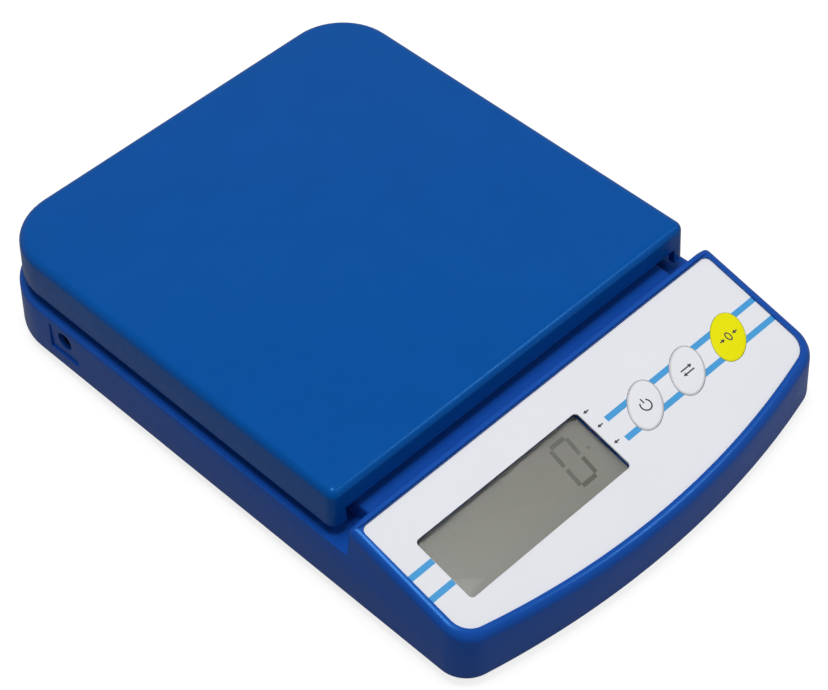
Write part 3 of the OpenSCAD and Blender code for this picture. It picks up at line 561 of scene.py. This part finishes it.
def platform_section():
    """Growth and height, from the inside of the plate round the lip to the top."""
    edge_r = PLATFORM_EDGE_R
    shoulder = lean_in(PLATFORM_TOP - edge_r, SKIRT_Z, PLATFORM_DRAFT)
    inner = shoulder - PLATFORM_T
    ceiling = PLATFORM_TOP - PLATFORM_T
    fillet = 0.9
    lip_in = 0.35
    lip_out = 0.45
    lift = 0.06  # the inner lip ends a hair higher, because bridging two loops of one height can twist them
    skirt_step = SKIRT_Z + SKIRT_STEP
    section = [(inner - 0.95, ceiling)]
    section += arc_steps(inner - fillet, ceiling - fillet, fillet, 75, 0, 4)
    section += [(-PLATFORM_T, SKIRT_Z + lip_in)]
    section += arc_steps(lip_in - PLATFORM_T, SKIRT_Z + lip_in + lift, lip_in, 180, 270, 3)[1:]
    section += arc_steps(-lip_out, SKIRT_Z + lip_out, lip_out, 270, 360, 4)
    section += [(lean_in(skirt_step, SKIRT_Z, PLATFORM_DRAFT), skirt_step)]
    section += arc_steps(shoulder - edge_r, PLATFORM_TOP - edge_r, edge_r, 0, 90, 10)
    return section


def front_notch():
    half_w = PLATFORM_PLAN[0] - LEG_W
    front = PLATFORM_PLAN[2]
    return box_tool((-half_w, front - 6, SKIRT_Z - 3), (half_w, front + 6, SKIRT_Z + NOTCH_H))


platform = bmesh.new()
wall(platform, PLATFORM_PLAN, platform_section())
platform = carved(platform, [front_notch()])
report("platform", platform)
finish_piece(platform, "platform_shell", "platform", [PLATFORM_BLUE],
             replaces=["platform"])

# %% [markdown]
# ## The upper housing
#
# One moulding carries everything: walls with a soft foot, a low ledge round the platform, and the hood that
# slopes down to a bowed front. It could be built face by face, but the real shape is simpler seen as a
# block: one with the outline of the walls, cut by the panel's plane and by the well behind the hood.

# %% Housing block
FAR = 90
HOUSING_DRAFT = 2.3
WALL_FOOT_R = 3.0
COVER_SEAT = -4.2


def above_panel(height):
    """A block of everything that is higher than height over the panel."""
    return box_tool((-FAR, -80, height), (FAR, 60, 40), PANEL)


def behind_hood(back, floor):
    """A block of everything behind the hood's back and above the ledge's floor."""
    return box_tool((-FAR, back, floor), (FAR, 120, 60))


def housing_block():
    bm = bmesh.new()
    bend = FOOT_H + WALL_FOOT_R
    section = [(COVER_SEAT, FOOT_H + 0.05), (-WALL_FOOT_R, FOOT_H)]
    section += arc_steps(-WALL_FOOT_R, bend, WALL_FOOT_R, -82, 0, 8)
    section += [(lean_in(z, bend, HOUSING_DRAFT), z) for z in (12.0, 37.0)]
    wall(bm, BASE_PLAN, section)
    return carved(bm, [above_panel(RIM_H), behind_hood(HOOD_BACK, LEDGE_Z)])


block = housing_block()
report("plain block", block)

# %% [markdown]
# The long edges get their own radii next, because those radii draw the bright lines along the rim. Each
# test picks one family of edges by its place: the rim round the label, the hood's back edge, its two
# upright corners, and the outer edge of the ledge. The corners are rounded first, so that the rim can run
# over them.

# %% Rounded long edges
NEAR = 0.05
NEAR_PLANE = 0.02
CREASE = radians(40)
HOOD_CORNER_R = 1.8
RIM_R = 2.4


def on_rim_plane(vert):
    return abs((PANEL.inverted() @ vert.co).z - RIM_H) < NEAR_PLANE


def at_hood_back(vert):
    return abs(vert.co.y - HOOD_BACK) < NEAR


def creased(edge):
    return len(edge.link_faces) == 2 and edge.calc_face_angle(0) > CREASE


def hood_corner_edge(edge):
    a, b = (vert.co for vert in edge.verts)
    upright = abs(a.x - b.x) < 2 and abs(a.z - b.z) > 1
    return upright and abs(a.x) > 70 and all(at_hood_back(vert) for vert in edge.verts)


def hood_back_edge(edge):
    return all(on_rim_plane(vert) and at_hood_back(vert) for vert in edge.verts)


def rim_edge(edge):
    in_front = min(vert.co.y for vert in edge.verts) < HOOD_BACK - NEAR
    return in_front and creased(edge) and all(on_rim_plane(vert) for vert in edge.verts)


def ledge_edge(edge):
    behind = max(vert.co.y for vert in edge.verts) > HOOD_BACK + NEAR
    flat = all(abs(vert.co.z - LEDGE_Z) < NEAR_PLANE for vert in edge.verts)
    return behind and flat and creased(edge)


block = rounded_edges(block, [(hood_corner_edge, 1.0)], HOOD_CORNER_R, 5)
block = rounded_edges(block, [(hood_back_edge, 0.4), (rim_edge, 1.0), (ledge_edge, 0.5)], RIM_R, 6)
report("rounded block", block)

# %% [markdown]
# The block is hollow in the real moulding. The hollow is the same outline, one wall thickness smaller, cut
# by the same planes one plate thickness lower. The raised deck under the platform is joined on before the
# hollow is taken out, and its own inside is taken out with it, so that no plate is left between the two.

# %% Hollow and deck
PLATE_T = 2.2
LEDGE_T = 2.0
PANEL_T = 2.5
WALL_T = 2.3
WALL_TOP_IN = 2.9
DECK_PLAN = (62.5, 92.0, HOOD_BACK - PLATE_T, 3.0, 14.0, 0.0)
DECK_EDGE_R = 0.8


def housing_hollow():
    bm = bmesh.new()
    section = [(COVER_SEAT, FOOT_H - 1), (COVER_SEAT, FOOT_H + PLATE_T)]
    section += [(-WALL_T, FOOT_H + 3.6), (-WALL_TOP_IN, 40.0)]
    wall(bm, BASE_PLAN, section)
    return carved(bm, [above_panel(-PANEL_T), behind_hood(HOOD_BACK - PLATE_T, LEDGE_Z - LEDGE_T)])


def raised_deck():
    bm = bmesh.new()
    section = [(0, LEDGE_Z - 1.5), (0, DECK_Z - DECK_EDGE_R)]
    section += arc_steps(-DECK_EDGE_R, DECK_Z - DECK_EDGE_R, DECK_EDGE_R, 0, 90, 4)[1:]
    wall(bm, DECK_PLAN, section)
    return bm


def deck_hollow():
    bm = bmesh.new()
    wall(bm, DECK_PLAN, [(-PLATE_T, 10), (-PLATE_T, DECK_Z - PLATE_T)])
    return bm


housing = carved(block, [raised_deck()], "UNION")
report("with deck", housing)
housing = carved(housing, [housing_hollow(), deck_hollow()])
report("hollowed", housing)

# %% [markdown]
# Last come the openings: a recess for the label, a rebate and a window for the display, the keys' openings,
# the power hole in its shallow flat, and the slot in the deck through which the load cell bears the
# platform. They come after the rounding, because a Bevel on a shape with many small holes tends to cross
# itself.

# %% Openings of the housing
LABEL_DEPTH = 0.5
LABEL_PLAY = 0.1
PANE_RIM = 2.0
PANE_BOTTOM = -1.5
PANE_PLAY = 0.1
WINDOW_PLAY = 0.2
KEY_PLAY = 0.25
ABOVE = 4.0
THROUGH = -12.0
INLET = Vector((-74.2, 69.9, 14.0))
INLET_R = 3.0
FLAT_X = -73.9
FLAT_HALF_L = 6.4
FLAT_BELOW = 6.0
FLAT_OVER = 3.4
SLOT_HALF_W = 10.5
SLOT_FRONT = 42.0
SLOT_BACK = 69.0


def panel_cuts():
    """The label's recess, the pane's rebate, the window and the keys' openings."""
    cuts = [label_tool(LABEL_PLAY, -LABEL_DEPTH, ABOVE)]
    cuts.append(window_tool(PANE_RIM + PANE_PLAY, PANE_BOTTOM, ABOVE))
    cuts.append(window_tool(WINDOW_PLAY, THROUGH, ABOVE))
    cuts += [key_tool(x, KEY_PLAY, THROUGH, ABOVE) for x in KEYS.values()]
    return cuts


def wall_cuts():
    """The power hole and the shallow flat round it."""
    hole = cylinder_tool(INLET + Vector((-3, 0, 0)), INLET + Vector((8, 0, 0)), INLET_R)
    low = (-80, INLET.y - FLAT_HALF_L, INLET.z - FLAT_BELOW)
    high = (FLAT_X, INLET.y + FLAT_HALF_L, INLET.z + FLAT_OVER)
    return [hole, box_tool(low, high)]


def deck_slot():
    return box_tool((-SLOT_HALF_W, SLOT_FRONT, DECK_Z - 4), (SLOT_HALF_W, SLOT_BACK, DECK_Z + 4))


housing = carved(housing, [*panel_cuts(), *wall_cuts(), deck_slot()])
report("housing", housing)
finish_piece(housing, "housing_shell", "housing", [SHELL_BLUE],
             replaces=["upper_housing"])

# %% [markdown]
# ## The label
#
# A printed film sits in the panel's recess, with a hole for the window and one for each key. The two
# stripes are print, so they have no thickness of their own. They could be a picture on the film; here the
# sheet is cut along the stripes' borders, and the faces between them get the blue ink, which stays sharp at
# any distance.

# %% Label with its stripes
STRIPES = ((18.2, 20.1), (26.15, 28.05))
STRIPE_START = 6.7
STRIPE_END = -62.0


def in_stripe(point):
    """Whether a point of the flat sheet lies in a stripe. The display interrupts the stripes."""
    across = any(low < -point.y < high for low, high in STRIPES)
    return across and not STRIPE_END <= point.x <= STRIPE_START


def label_sheet():
    holes = [window_tool(0.0, -2, 2)]
    holes += [key_tool(x, KEY_PLAY, -2, 2) for x in KEYS.values()]
    bm = carved(label_tool(0.0, -LABEL_DEPTH, 0.0), holes)
    bm.transform(PANEL.inverted())
    borders = [((0, -v, 0), (0, 1, 0)) for stripe in STRIPES for v in stripe]
    borders += [((u, 0, 0), (1, 0, 0)) for u in (STRIPE_START, STRIPE_END)]
    for point, normal in borders:
        bmesh.ops.bisect_plane(bm, geom=bm.verts[:] + bm.edges[:] + bm.faces[:], dist=1e-5,
                               plane_co=point, plane_no=normal)
    inked = [face for face in bm.faces if face.normal.z > 0.9 and in_stripe(face.calc_center_median())]
    for face in inked:
        face.material_index = 1
    print("inked faces:", len(inked))
    bm.transform(PANEL)
    return bm


finish_piece(label_sheet(), "label_sheet", "housing", [LABEL_WHITE, PRINT_BLUE],
             replaces=["panel_label"])

# %% [markdown]
# ## The keys
#
# Three oval buttons lean across the stripes. Each is a cap with a softly rounded edge, a flange under the
# panel that holds it in, and a stem that reaches its switch. The cap is bridged through ovals that shrink
# as they rise, since a bevel can't widen into a dome that slowly flattens. On the white ones the rounded
# edge is painted light grey: painted shade that stands for the gap round the key.

# %% Keys
KEY_LAYERS = ((1.0, -3.4), (1.0, -2.6), (0.12, -2.6), (0.12, 0.02), (0.02, 0.16), (-0.15, 0.25),
              (-0.45, 0.31), (-0.9, 0.34), (-2.2, 0.36))
# The heights between which the cap's rounded edge gets the painted grey shade of the gap.
GAP_SHADE_LOW = -0.5
GAP_SHADE_HIGH = 0.29
STEM_R = 1.7
STEM_L = 1.6


def key_cap(x, gap_shaded):
    """A key over the flat panel, then laid on the slope. The layers give its growth and height."""
    bm = bmesh.new()
    close_shape(bm, [key_loop(bm, x, grow, z) for grow, z in KEY_LAYERS])
    for face in bm.faces:
        # The white keys' rounded edge gets the painted grey shade of the gap round the key.
        if gap_shaded and GAP_SHADE_LOW < face.calc_center_median().z < GAP_SHADE_HIGH:
            face.material_index = 1
    stem = bmesh.ops.create_cone(bm, cap_ends=True, segments=32, radius1=STEM_R, radius2=STEM_R, depth=STEM_L)
    bmesh.ops.translate(bm, vec=(x, KEY_V, -4.1), verts=stem["verts"])
    bm.transform(PANEL)
    return bm


for name, x in KEYS.items():
    yellow = name == "key_tare"
    face_ink = KEY_YELLOW if yellow else LABEL_WHITE
    finish_piece(key_cap(x, not yellow), name + "_cap", name, [face_ink, KEY_GAP_SHADE],
                 replaces=[name])

# %% [markdown]
# ## Strokes of ink
#
# Signs are printed in a thin layer of ink. Each is made from flat strokes: a grid face for a bar, a spun
# edge for an arc, a circle of three corners for an arrow's head. Extruding the flat faces by a hair gives
# the ink a thickness, so that it lies on the surface and doesn't flicker in it.

# %% Stroke helpers
INK = 0.03


def stroke(bm, a, b, width):
    """A flat bar from a to b."""
    a = Vector((*a, 0))
    b = Vector((*b, 0))
    turn = Matrix.Rotation(atan2(b.y - a.y, b.x - a.x), 3, "Z")
    made = bmesh.ops.create_grid(bm, x_segments=1, y_segments=1, size=0.5)["verts"]
    bmesh.ops.scale(bm, vec=((b - a).length, width, 1), verts=made)
    bmesh.ops.rotate(bm, cent=(0, 0, 0), matrix=turn, verts=made)
    bmesh.ops.translate(bm, vec=(a + b) / 2, verts=made)


def arc_stroke(bm, centre, radius, width, start, sweep):
    """A flat piece of ring: a short radial edge spun about the centre."""
    middle = Vector((*centre, 0))
    outwards = Vector((cos(start), sin(start), 0))
    ends = [bm.verts.new(middle + outwards * (radius + side * width / 2)) for side in (-1, 1)]
    edge = bm.edges.new(ends)
    bmesh.ops.spin(bm, geom=ends + [edge], cent=middle, axis=(0, 0, 1), dvec=(0, 0, 0), angle=sweep,
                   steps=28, use_duplicate=False)


def arrow_head(bm, tip, direction, size):
    """A flat triangle that points along direction."""
    made = bmesh.ops.create_circle(bm, cap_ends=True, radius=size, segments=3)["verts"]
    bmesh.ops.rotate(bm, cent=(0, 0, 0), matrix=Matrix.Rotation(direction - pi / 2, 3, "Z"), verts=made)
    offset = Vector((cos(direction), sin(direction), 0)) * size
    bmesh.ops.translate(bm, vec=Vector((*tip, 0)) - offset, verts=made)


def ink_layer(bm, place):
    """Gives flat ink faces a hair of thickness and puts them in their place."""
    bmesh.ops.remove_doubles(bm, verts=bm.verts, dist=MERGE)
    for face in bm.faces:
        if face.normal.z < 0:
            face.normal_flip()
    grown = bmesh.ops.extrude_face_region(bm, geom=bm.faces[:])["geom"]
    upper = [item for item in grown if isinstance(item, bmesh.types.BMVert)]
    bmesh.ops.translate(bm, vec=(0, 0, INK), verts=upper)
    bmesh.ops.recalc_face_normals(bm, faces=bm.faces)
    bm.transform(place)
    return bm


# %% [markdown]
# ## Signs on the keys
#
# Plain pictograms say what each key does: a power sign, a pair of arrows that swap the unit, and arrows
# that close in on a nought for taring. They ride on the keys, so that they go down with them.

# %% Key signs
LINE_W = 0.42


def power_sign():
    bm = bmesh.new()
    bold = 0.45
    arc_stroke(bm, (0, -0.15), 1.75, bold, radians(130), radians(280))
    stroke(bm, (0, 0.5), (0, 2.2), bold)
    return bm


def units_sign():
    bm = bmesh.new()
    for side in (1, -1):
        y = 0.75 * side
        stroke(bm, (-2.1 * side, y), (1.2 * side, y), LINE_W)
        arrow_head(bm, (2.4 * side, y), 0 if side > 0 else pi, 0.8)
    return bm


def tare_sign():
    bm = bmesh.new()
    for side in (1, -1):
        stroke(bm, (3.6 * side, 0), (2.6 * side, 0), LINE_W)
        arrow_head(bm, (1.7 * side, 0), pi if side > 0 else 0, 0.75)
    outer = bmesh.ops.create_circle(bm, cap_ends=False, radius=1.0, segments=32)["verts"]
    inner = bmesh.ops.create_circle(bm, cap_ends=False, radius=1.0, segments=32)["verts"]
    bmesh.ops.scale(bm, vec=(1.0, 1.5, 1), verts=outer)
    bmesh.ops.scale(bm, vec=(0.6, 1.08, 1), verts=inner)
    bmesh.ops.bridge_loops(bm, edges=loop_edges(outer) + loop_edges(inner))
    return bm


KEY_TOP = KEY_LAYERS[-1][1]
SIGNS = {"key_power": power_sign, "key_units": units_sign, "key_tare": tare_sign}
for name, make in SIGNS.items():
    place = PANEL @ Matrix.Translation((KEYS[name], KEY_V, KEY_TOP))
    finish_piece(ink_layer(make(), place), name + "_sign", name, [PRINT_DARK])

# %% [markdown]
# ## The display
#
# A clear pane closes the window, and the liquid crystal glass lies a little deeper, so that the window's
# edge throws a soft shadow on it. Both are the window's own outline, grown by a rim that hides behind the
# panel, with their upper edge bevelled as glass is dressed.

# %% Pane and glass
PANE_TOP = -0.5
GLASS_RIM = 3.0
GLASS_TOP = -2.6
GLASS_BOTTOM = -5.3


def dressed_plate(grow, radius, low, high, soft):
    """A plate with the window's outline and a softened upper edge."""
    bm = window_prism(grow, radius, low, high)
    top = [edge for edge in bm.edges if all(abs(vert.co.z - high) < 1e-5 for vert in edge.verts)]
    bmesh.ops.bevel(bm, geom=top, offset=soft, offset_type="OFFSET", segments=2, profile=0.5,
                    affect="EDGES", material=-1)
    bm.transform(PANEL)
    return bm


pane = dressed_plate(PANE_RIM, WINDOW_R, PANE_BOTTOM, PANE_TOP, 0.1)
finish_piece(pane, "display_window", "housing", [CLEAR], replaces=["display_pane"])
glass = dressed_plate(GLASS_RIM, 0.5, GLASS_BOTTOM, GLASS_TOP, 0.15)
finish_piece(glass, "lcd_panel", "housing", [LCD_GREY], replaces=["lcd_glass"])

# %% [markdown]
# ## Digits and unit marks
#
# The seven strokes of a digit are separate bars with small gaps, and a nought shows all but the middle one.
# The bars are drawn upright and then sheared a little, because such digits lean. Beside the window, three
# small arrows are printed on the label, and a triangle on the glass points to the one that counts.

# %% Digits and unit marks
DIGIT_LEFT = -12.3
DIGIT_RIGHT = -5.9
DIGIT_BOTTOM = -28.9
DIGIT_MIDDLE = -22.1
DIGIT_TOP = -15.1
BAR_W = 1.35
BAR_GAP = 0.45
BAR_SLANT = 0.09
UNIT_ROWS = (13.8, 19.4, 25.9)


def digit_bars():
    bm = bmesh.new()
    gap = BAR_GAP + 0.1
    for x in (DIGIT_LEFT, DIGIT_RIGHT):
        for low, high in ((DIGIT_BOTTOM, DIGIT_MIDDLE), (DIGIT_MIDDLE, DIGIT_TOP)):
            stroke(bm, (x, low + gap), (x, high - gap), BAR_W)
    for y in (DIGIT_BOTTOM, DIGIT_TOP):
        stroke(bm, (DIGIT_LEFT + BAR_GAP, y), (DIGIT_RIGHT - BAR_GAP, y), BAR_W)
    for vert in bm.verts:
        vert.co.x += (vert.co.y - DIGIT_MIDDLE) * BAR_SLANT
    arrow_head(bm, (-1.6, -21.6), 0.0, 0.85)
    return ink_layer(bm, PANEL @ Matrix.Translation((0, 0, GLASS_TOP)))


def unit_marks():
    bm = bmesh.new()
    for v in UNIT_ROWS:
        arrow_head(bm, (2.9, -v), pi, 0.7)
        stroke(bm, (3.8, -v), (5.0, -v), 0.4)
    return ink_layer(bm, PANEL)


finish_piece(digit_bars(), "lcd_marks", "housing", [LCD_MARK])
finish_piece(unit_marks(), "unit_marks", "housing", [PRINT_DARK])

# %% [markdown]
# ## Feet
#
# Each foot is a rubber button with a soft rim and a slightly hollow sole, set into the bottom cover. It
# is a turned shape, so half of its section is drawn once and spun about the foot's own axis.

# %% Feet
FOOT_SECTION = ((0, 0.25), (3.6, 0.25), (3.9, 0.02), (5.2, 0.0),
                (5.75, 0.2), (5.97, 0.6), (6.0, 2.2), (0, 2.2))
FOOT_ROWS = {"front": -82.2, "back": 86.2}
FOOT_SIDES = {"left": -58, "right": 58}


def foot(x, y):
    bm = bmesh.new()
    verts = [bm.verts.new((radius, 0, height)) for radius, height in FOOT_SECTION]
    edges = [bm.edges.new(pair) for pair in zip(verts, verts[1:])]
    bmesh.ops.spin(bm, geom=verts + edges, cent=(0, 0, 0), axis=(0, 0, 1), dvec=(0, 0, 0), angle=2 * pi,
                   steps=48, use_merge=True, use_duplicate=False)
    bmesh.ops.remove_doubles(bm, verts=bm.verts, dist=MERGE)
    bmesh.ops.recalc_face_normals(bm, faces=bm.faces)
    bmesh.ops.translate(bm, vec=(x, y, 0), verts=bm.verts)
    return bm


for row, y in FOOT_ROWS.items():
    for side, x in FOOT_SIDES.items():
        name = f"foot_{row}_{side}"
        finish_piece(foot(x, y), "rubber_" + name, "housing", [RUBBER], replaces=[name])

# %% [markdown]
# ## The CAD solids that stay
#
# Everything else is already the right shape, and most of it hides inside: load cell, carrier, board,
# battery box, screws and leads. Modelling them again would add nothing that shows, so each solid only gets
# the finish of what it is made from.

# %% Finishes for the other solids
FINISHES = {
    "platform_pads": RUBBER, "carrier": CARRIER_GREY, "carrier_screws": ZINC, "top_spacer": MILLED,
    "load_cell": MILLED, "gauge_seal": SILICONE, "base_spacer": MILLED, "base_screws": ZINC,
    "overload_stop": ZINC, "bottom_cover": SHELL_BLUE, "housing_screws": ZINC, "lcd_strips": SILICONE,
    "main_board": BOARD_GREEN, "board_screws": ZINC, "board_parts": BLACK_PLASTIC,
    "key_switches": BLACK_PLASTIC, "battery_door": SHELL_BLUE, "battery_cell_left": CELL_JACKET,
    "battery_cell_middle": CELL_JACKET, "battery_cell_right": CELL_JACKET, "battery_springs": NICKEL,
    "battery_plates": NICKEL, "power_inlet": BLACK_PLASTIC, "inlet_pin": NICKEL,
    "gauge_lead": WIRE_GREY, "battery_leads": WIRE_RED, "inlet_leads": WIRE_RED,
}
for node, finish in FINISHES.items():
    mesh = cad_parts[node].data
    mesh.materials.clear()
    mesh.materials.append(finish)
print("finished solids:", len(FINISHES))

# %% [markdown]
# ## Table
#
# The balance stands on a plain white table, and only a faint shadow shows. A table that is truly white
# would throw so much light back that the side walls would turn pale. So it is a mid grey with a glow that
# only the camera sees, directly or through the clear pane: it looks white, keeps the shadow, and lights the
# walls less.

# %% Table
TABLE_GREY = 0.28
TABLE_GLOW = 0.8


def table_finish():
    made, tree, shader = material("table_white", (TABLE_GREY, TABLE_GREY, TABLE_GREY, 1.0), 0.9)
    shader.inputs["Specular IOR Level"].default_value = 0.0
    path = tree.nodes.new("ShaderNodeLightPath")
    seen = tree.nodes.new("ShaderNodeMath")
    seen.operation = "MAXIMUM"
    tree.links.new(path.outputs["Is Camera Ray"], seen.inputs[0])
    tree.links.new(path.outputs["Is Transmission Ray"], seen.inputs[1])
    lift = tree.nodes.new("ShaderNodeMath")
    lift.operation = "MULTIPLY"
    lift.inputs[1].default_value = TABLE_GLOW
    tree.links.new(seen.outputs[0], lift.inputs[0])
    glow = tree.nodes.new("ShaderNodeEmission")
    glow.inputs["Color"].default_value = (1, 1, 1, 1)
    tree.links.new(lift.outputs[0], glow.inputs["Strength"])
    both = tree.nodes.new("ShaderNodeAddShader")
    tree.links.new(shader.outputs["BSDF"], both.inputs[0])
    tree.links.new(glow.outputs["Emission"], both.inputs[1])
    tree.links.new(both.outputs[0], tree.nodes["Material Output"].inputs["Surface"])
    return made


def table():
    bm = bmesh.new()
    bmesh.ops.create_grid(bm, x_segments=1, y_segments=1, size=3.0)
    mesh = bpy.data.meshes.new("table")
    bm.to_mesh(mesh)
    bm.free()
    mesh.materials.append(table_finish())
    made = bpy.data.objects.new("table", mesh)
    bpy.context.scene.collection.objects.link(made)
    print("table:", round(made.dimensions.x, 2), "m wide")


table()

# %% [markdown]
# ## Surroundings and lamps
#
# A product is lit by large soft lamps in a white room. One lamp overhead lights the top faces. A small one
# in front and to the right draws the highlights along the rim. The room itself looks white to the camera,
# but lights the balance with a third of that, for the same reason as the table.

# %% Surroundings and lamps
ROOM_LIGHT = 0.33
AIM = Vector((0, 0, 0.02))


def surroundings():
    world = bpy.data.worlds.new("studio")
    world.use_nodes = True
    tree = world.node_tree
    sky = tree.nodes["Background"]
    sky.inputs["Color"].default_value = (1, 1, 1, 1)
    path = tree.nodes.new("ShaderNodeLightPath")
    level = tree.nodes.new("ShaderNodeMapRange")
    level.inputs["To Min"].default_value = ROOM_LIGHT
    level.inputs["To Max"].default_value = 1.0
    tree.links.new(path.outputs["Is Camera Ray"], level.inputs["Value"])
    tree.links.new(level.outputs["Result"], sky.inputs["Strength"])
    bpy.context.scene.world = world


def lamp(name, at, size, watts):
    """A square soft lamp that is aimed at the balance."""
    data = bpy.data.lights.new(name, "AREA")
    data.shape = "RECTANGLE"
    data.size = size
    data.size_y = size
    data.energy = watts
    made = bpy.data.objects.new(name, data)
    made.location = at
    made.rotation_euler = (AIM - Vector(at)).to_track_quat("-Z", "Y").to_euler()
    bpy.context.scene.collection.objects.link(made)
    print(name, "gives", watts, "W")


surroundings()
lamp("overhead_softbox", (-0.08, 0.0, 1.25), 0.5, 9.0)
lamp("front_right_softbox", (0.55, -0.62, 0.85), 0.25, 1.6)

# %% [markdown]
# ## Camera
#
# The camera looks down from the front left with a long lens, so the platform's sides run almost parallel.
# Its place was worked out from the edges of the object in the photograph: the turn about the object, the
# height of the view, a slight roll, the distance and the focal length, which is given in pixels of the
# picture's width.

# %% Camera
AZIMUTH = radians(-43.987)
ELEVATION = radians(47.662)
ROLL = radians(-1.471)
DISTANCE = 0.694563
TARGET = Vector((-0.008764, -0.011251, 0.023))
FOCAL_PIXELS = 2402.07
PICTURE_PIXELS = 828
SENSOR_MM = 36.0


def camera():
    back = Vector((sin(AZIMUTH) * cos(ELEVATION), -cos(AZIMUTH) * cos(ELEVATION), sin(ELEVATION)))
    right = Vector((cos(AZIMUTH), sin(AZIMUTH), 0))
    up = back.cross(right)
    right_rolled = cos(ROLL) * right + sin(ROLL) * up
    up_rolled = cos(ROLL) * up - sin(ROLL) * right
    data = bpy.data.cameras.new("camera")
    data.sensor_width = SENSOR_MM
    data.lens = FOCAL_PIXELS * SENSOR_MM / PICTURE_PIXELS
    data.clip_end = 20
    made = bpy.data.objects.new("camera", data)
    turn = Matrix((right_rolled, up_rolled, back)).transposed().to_4x4()
    made.matrix_world = Matrix.Translation(TARGET + back * DISTANCE) @ turn
    bpy.context.scene.collection.objects.link(made)
    bpy.context.scene.camera = made
    place = [round(v, 3) for v in made.matrix_world.translation]
    print("lens", round(data.lens, 2), "mm, camera at", place)


camera()
bpy.context.scene.view_settings.view_transform = "Standard"
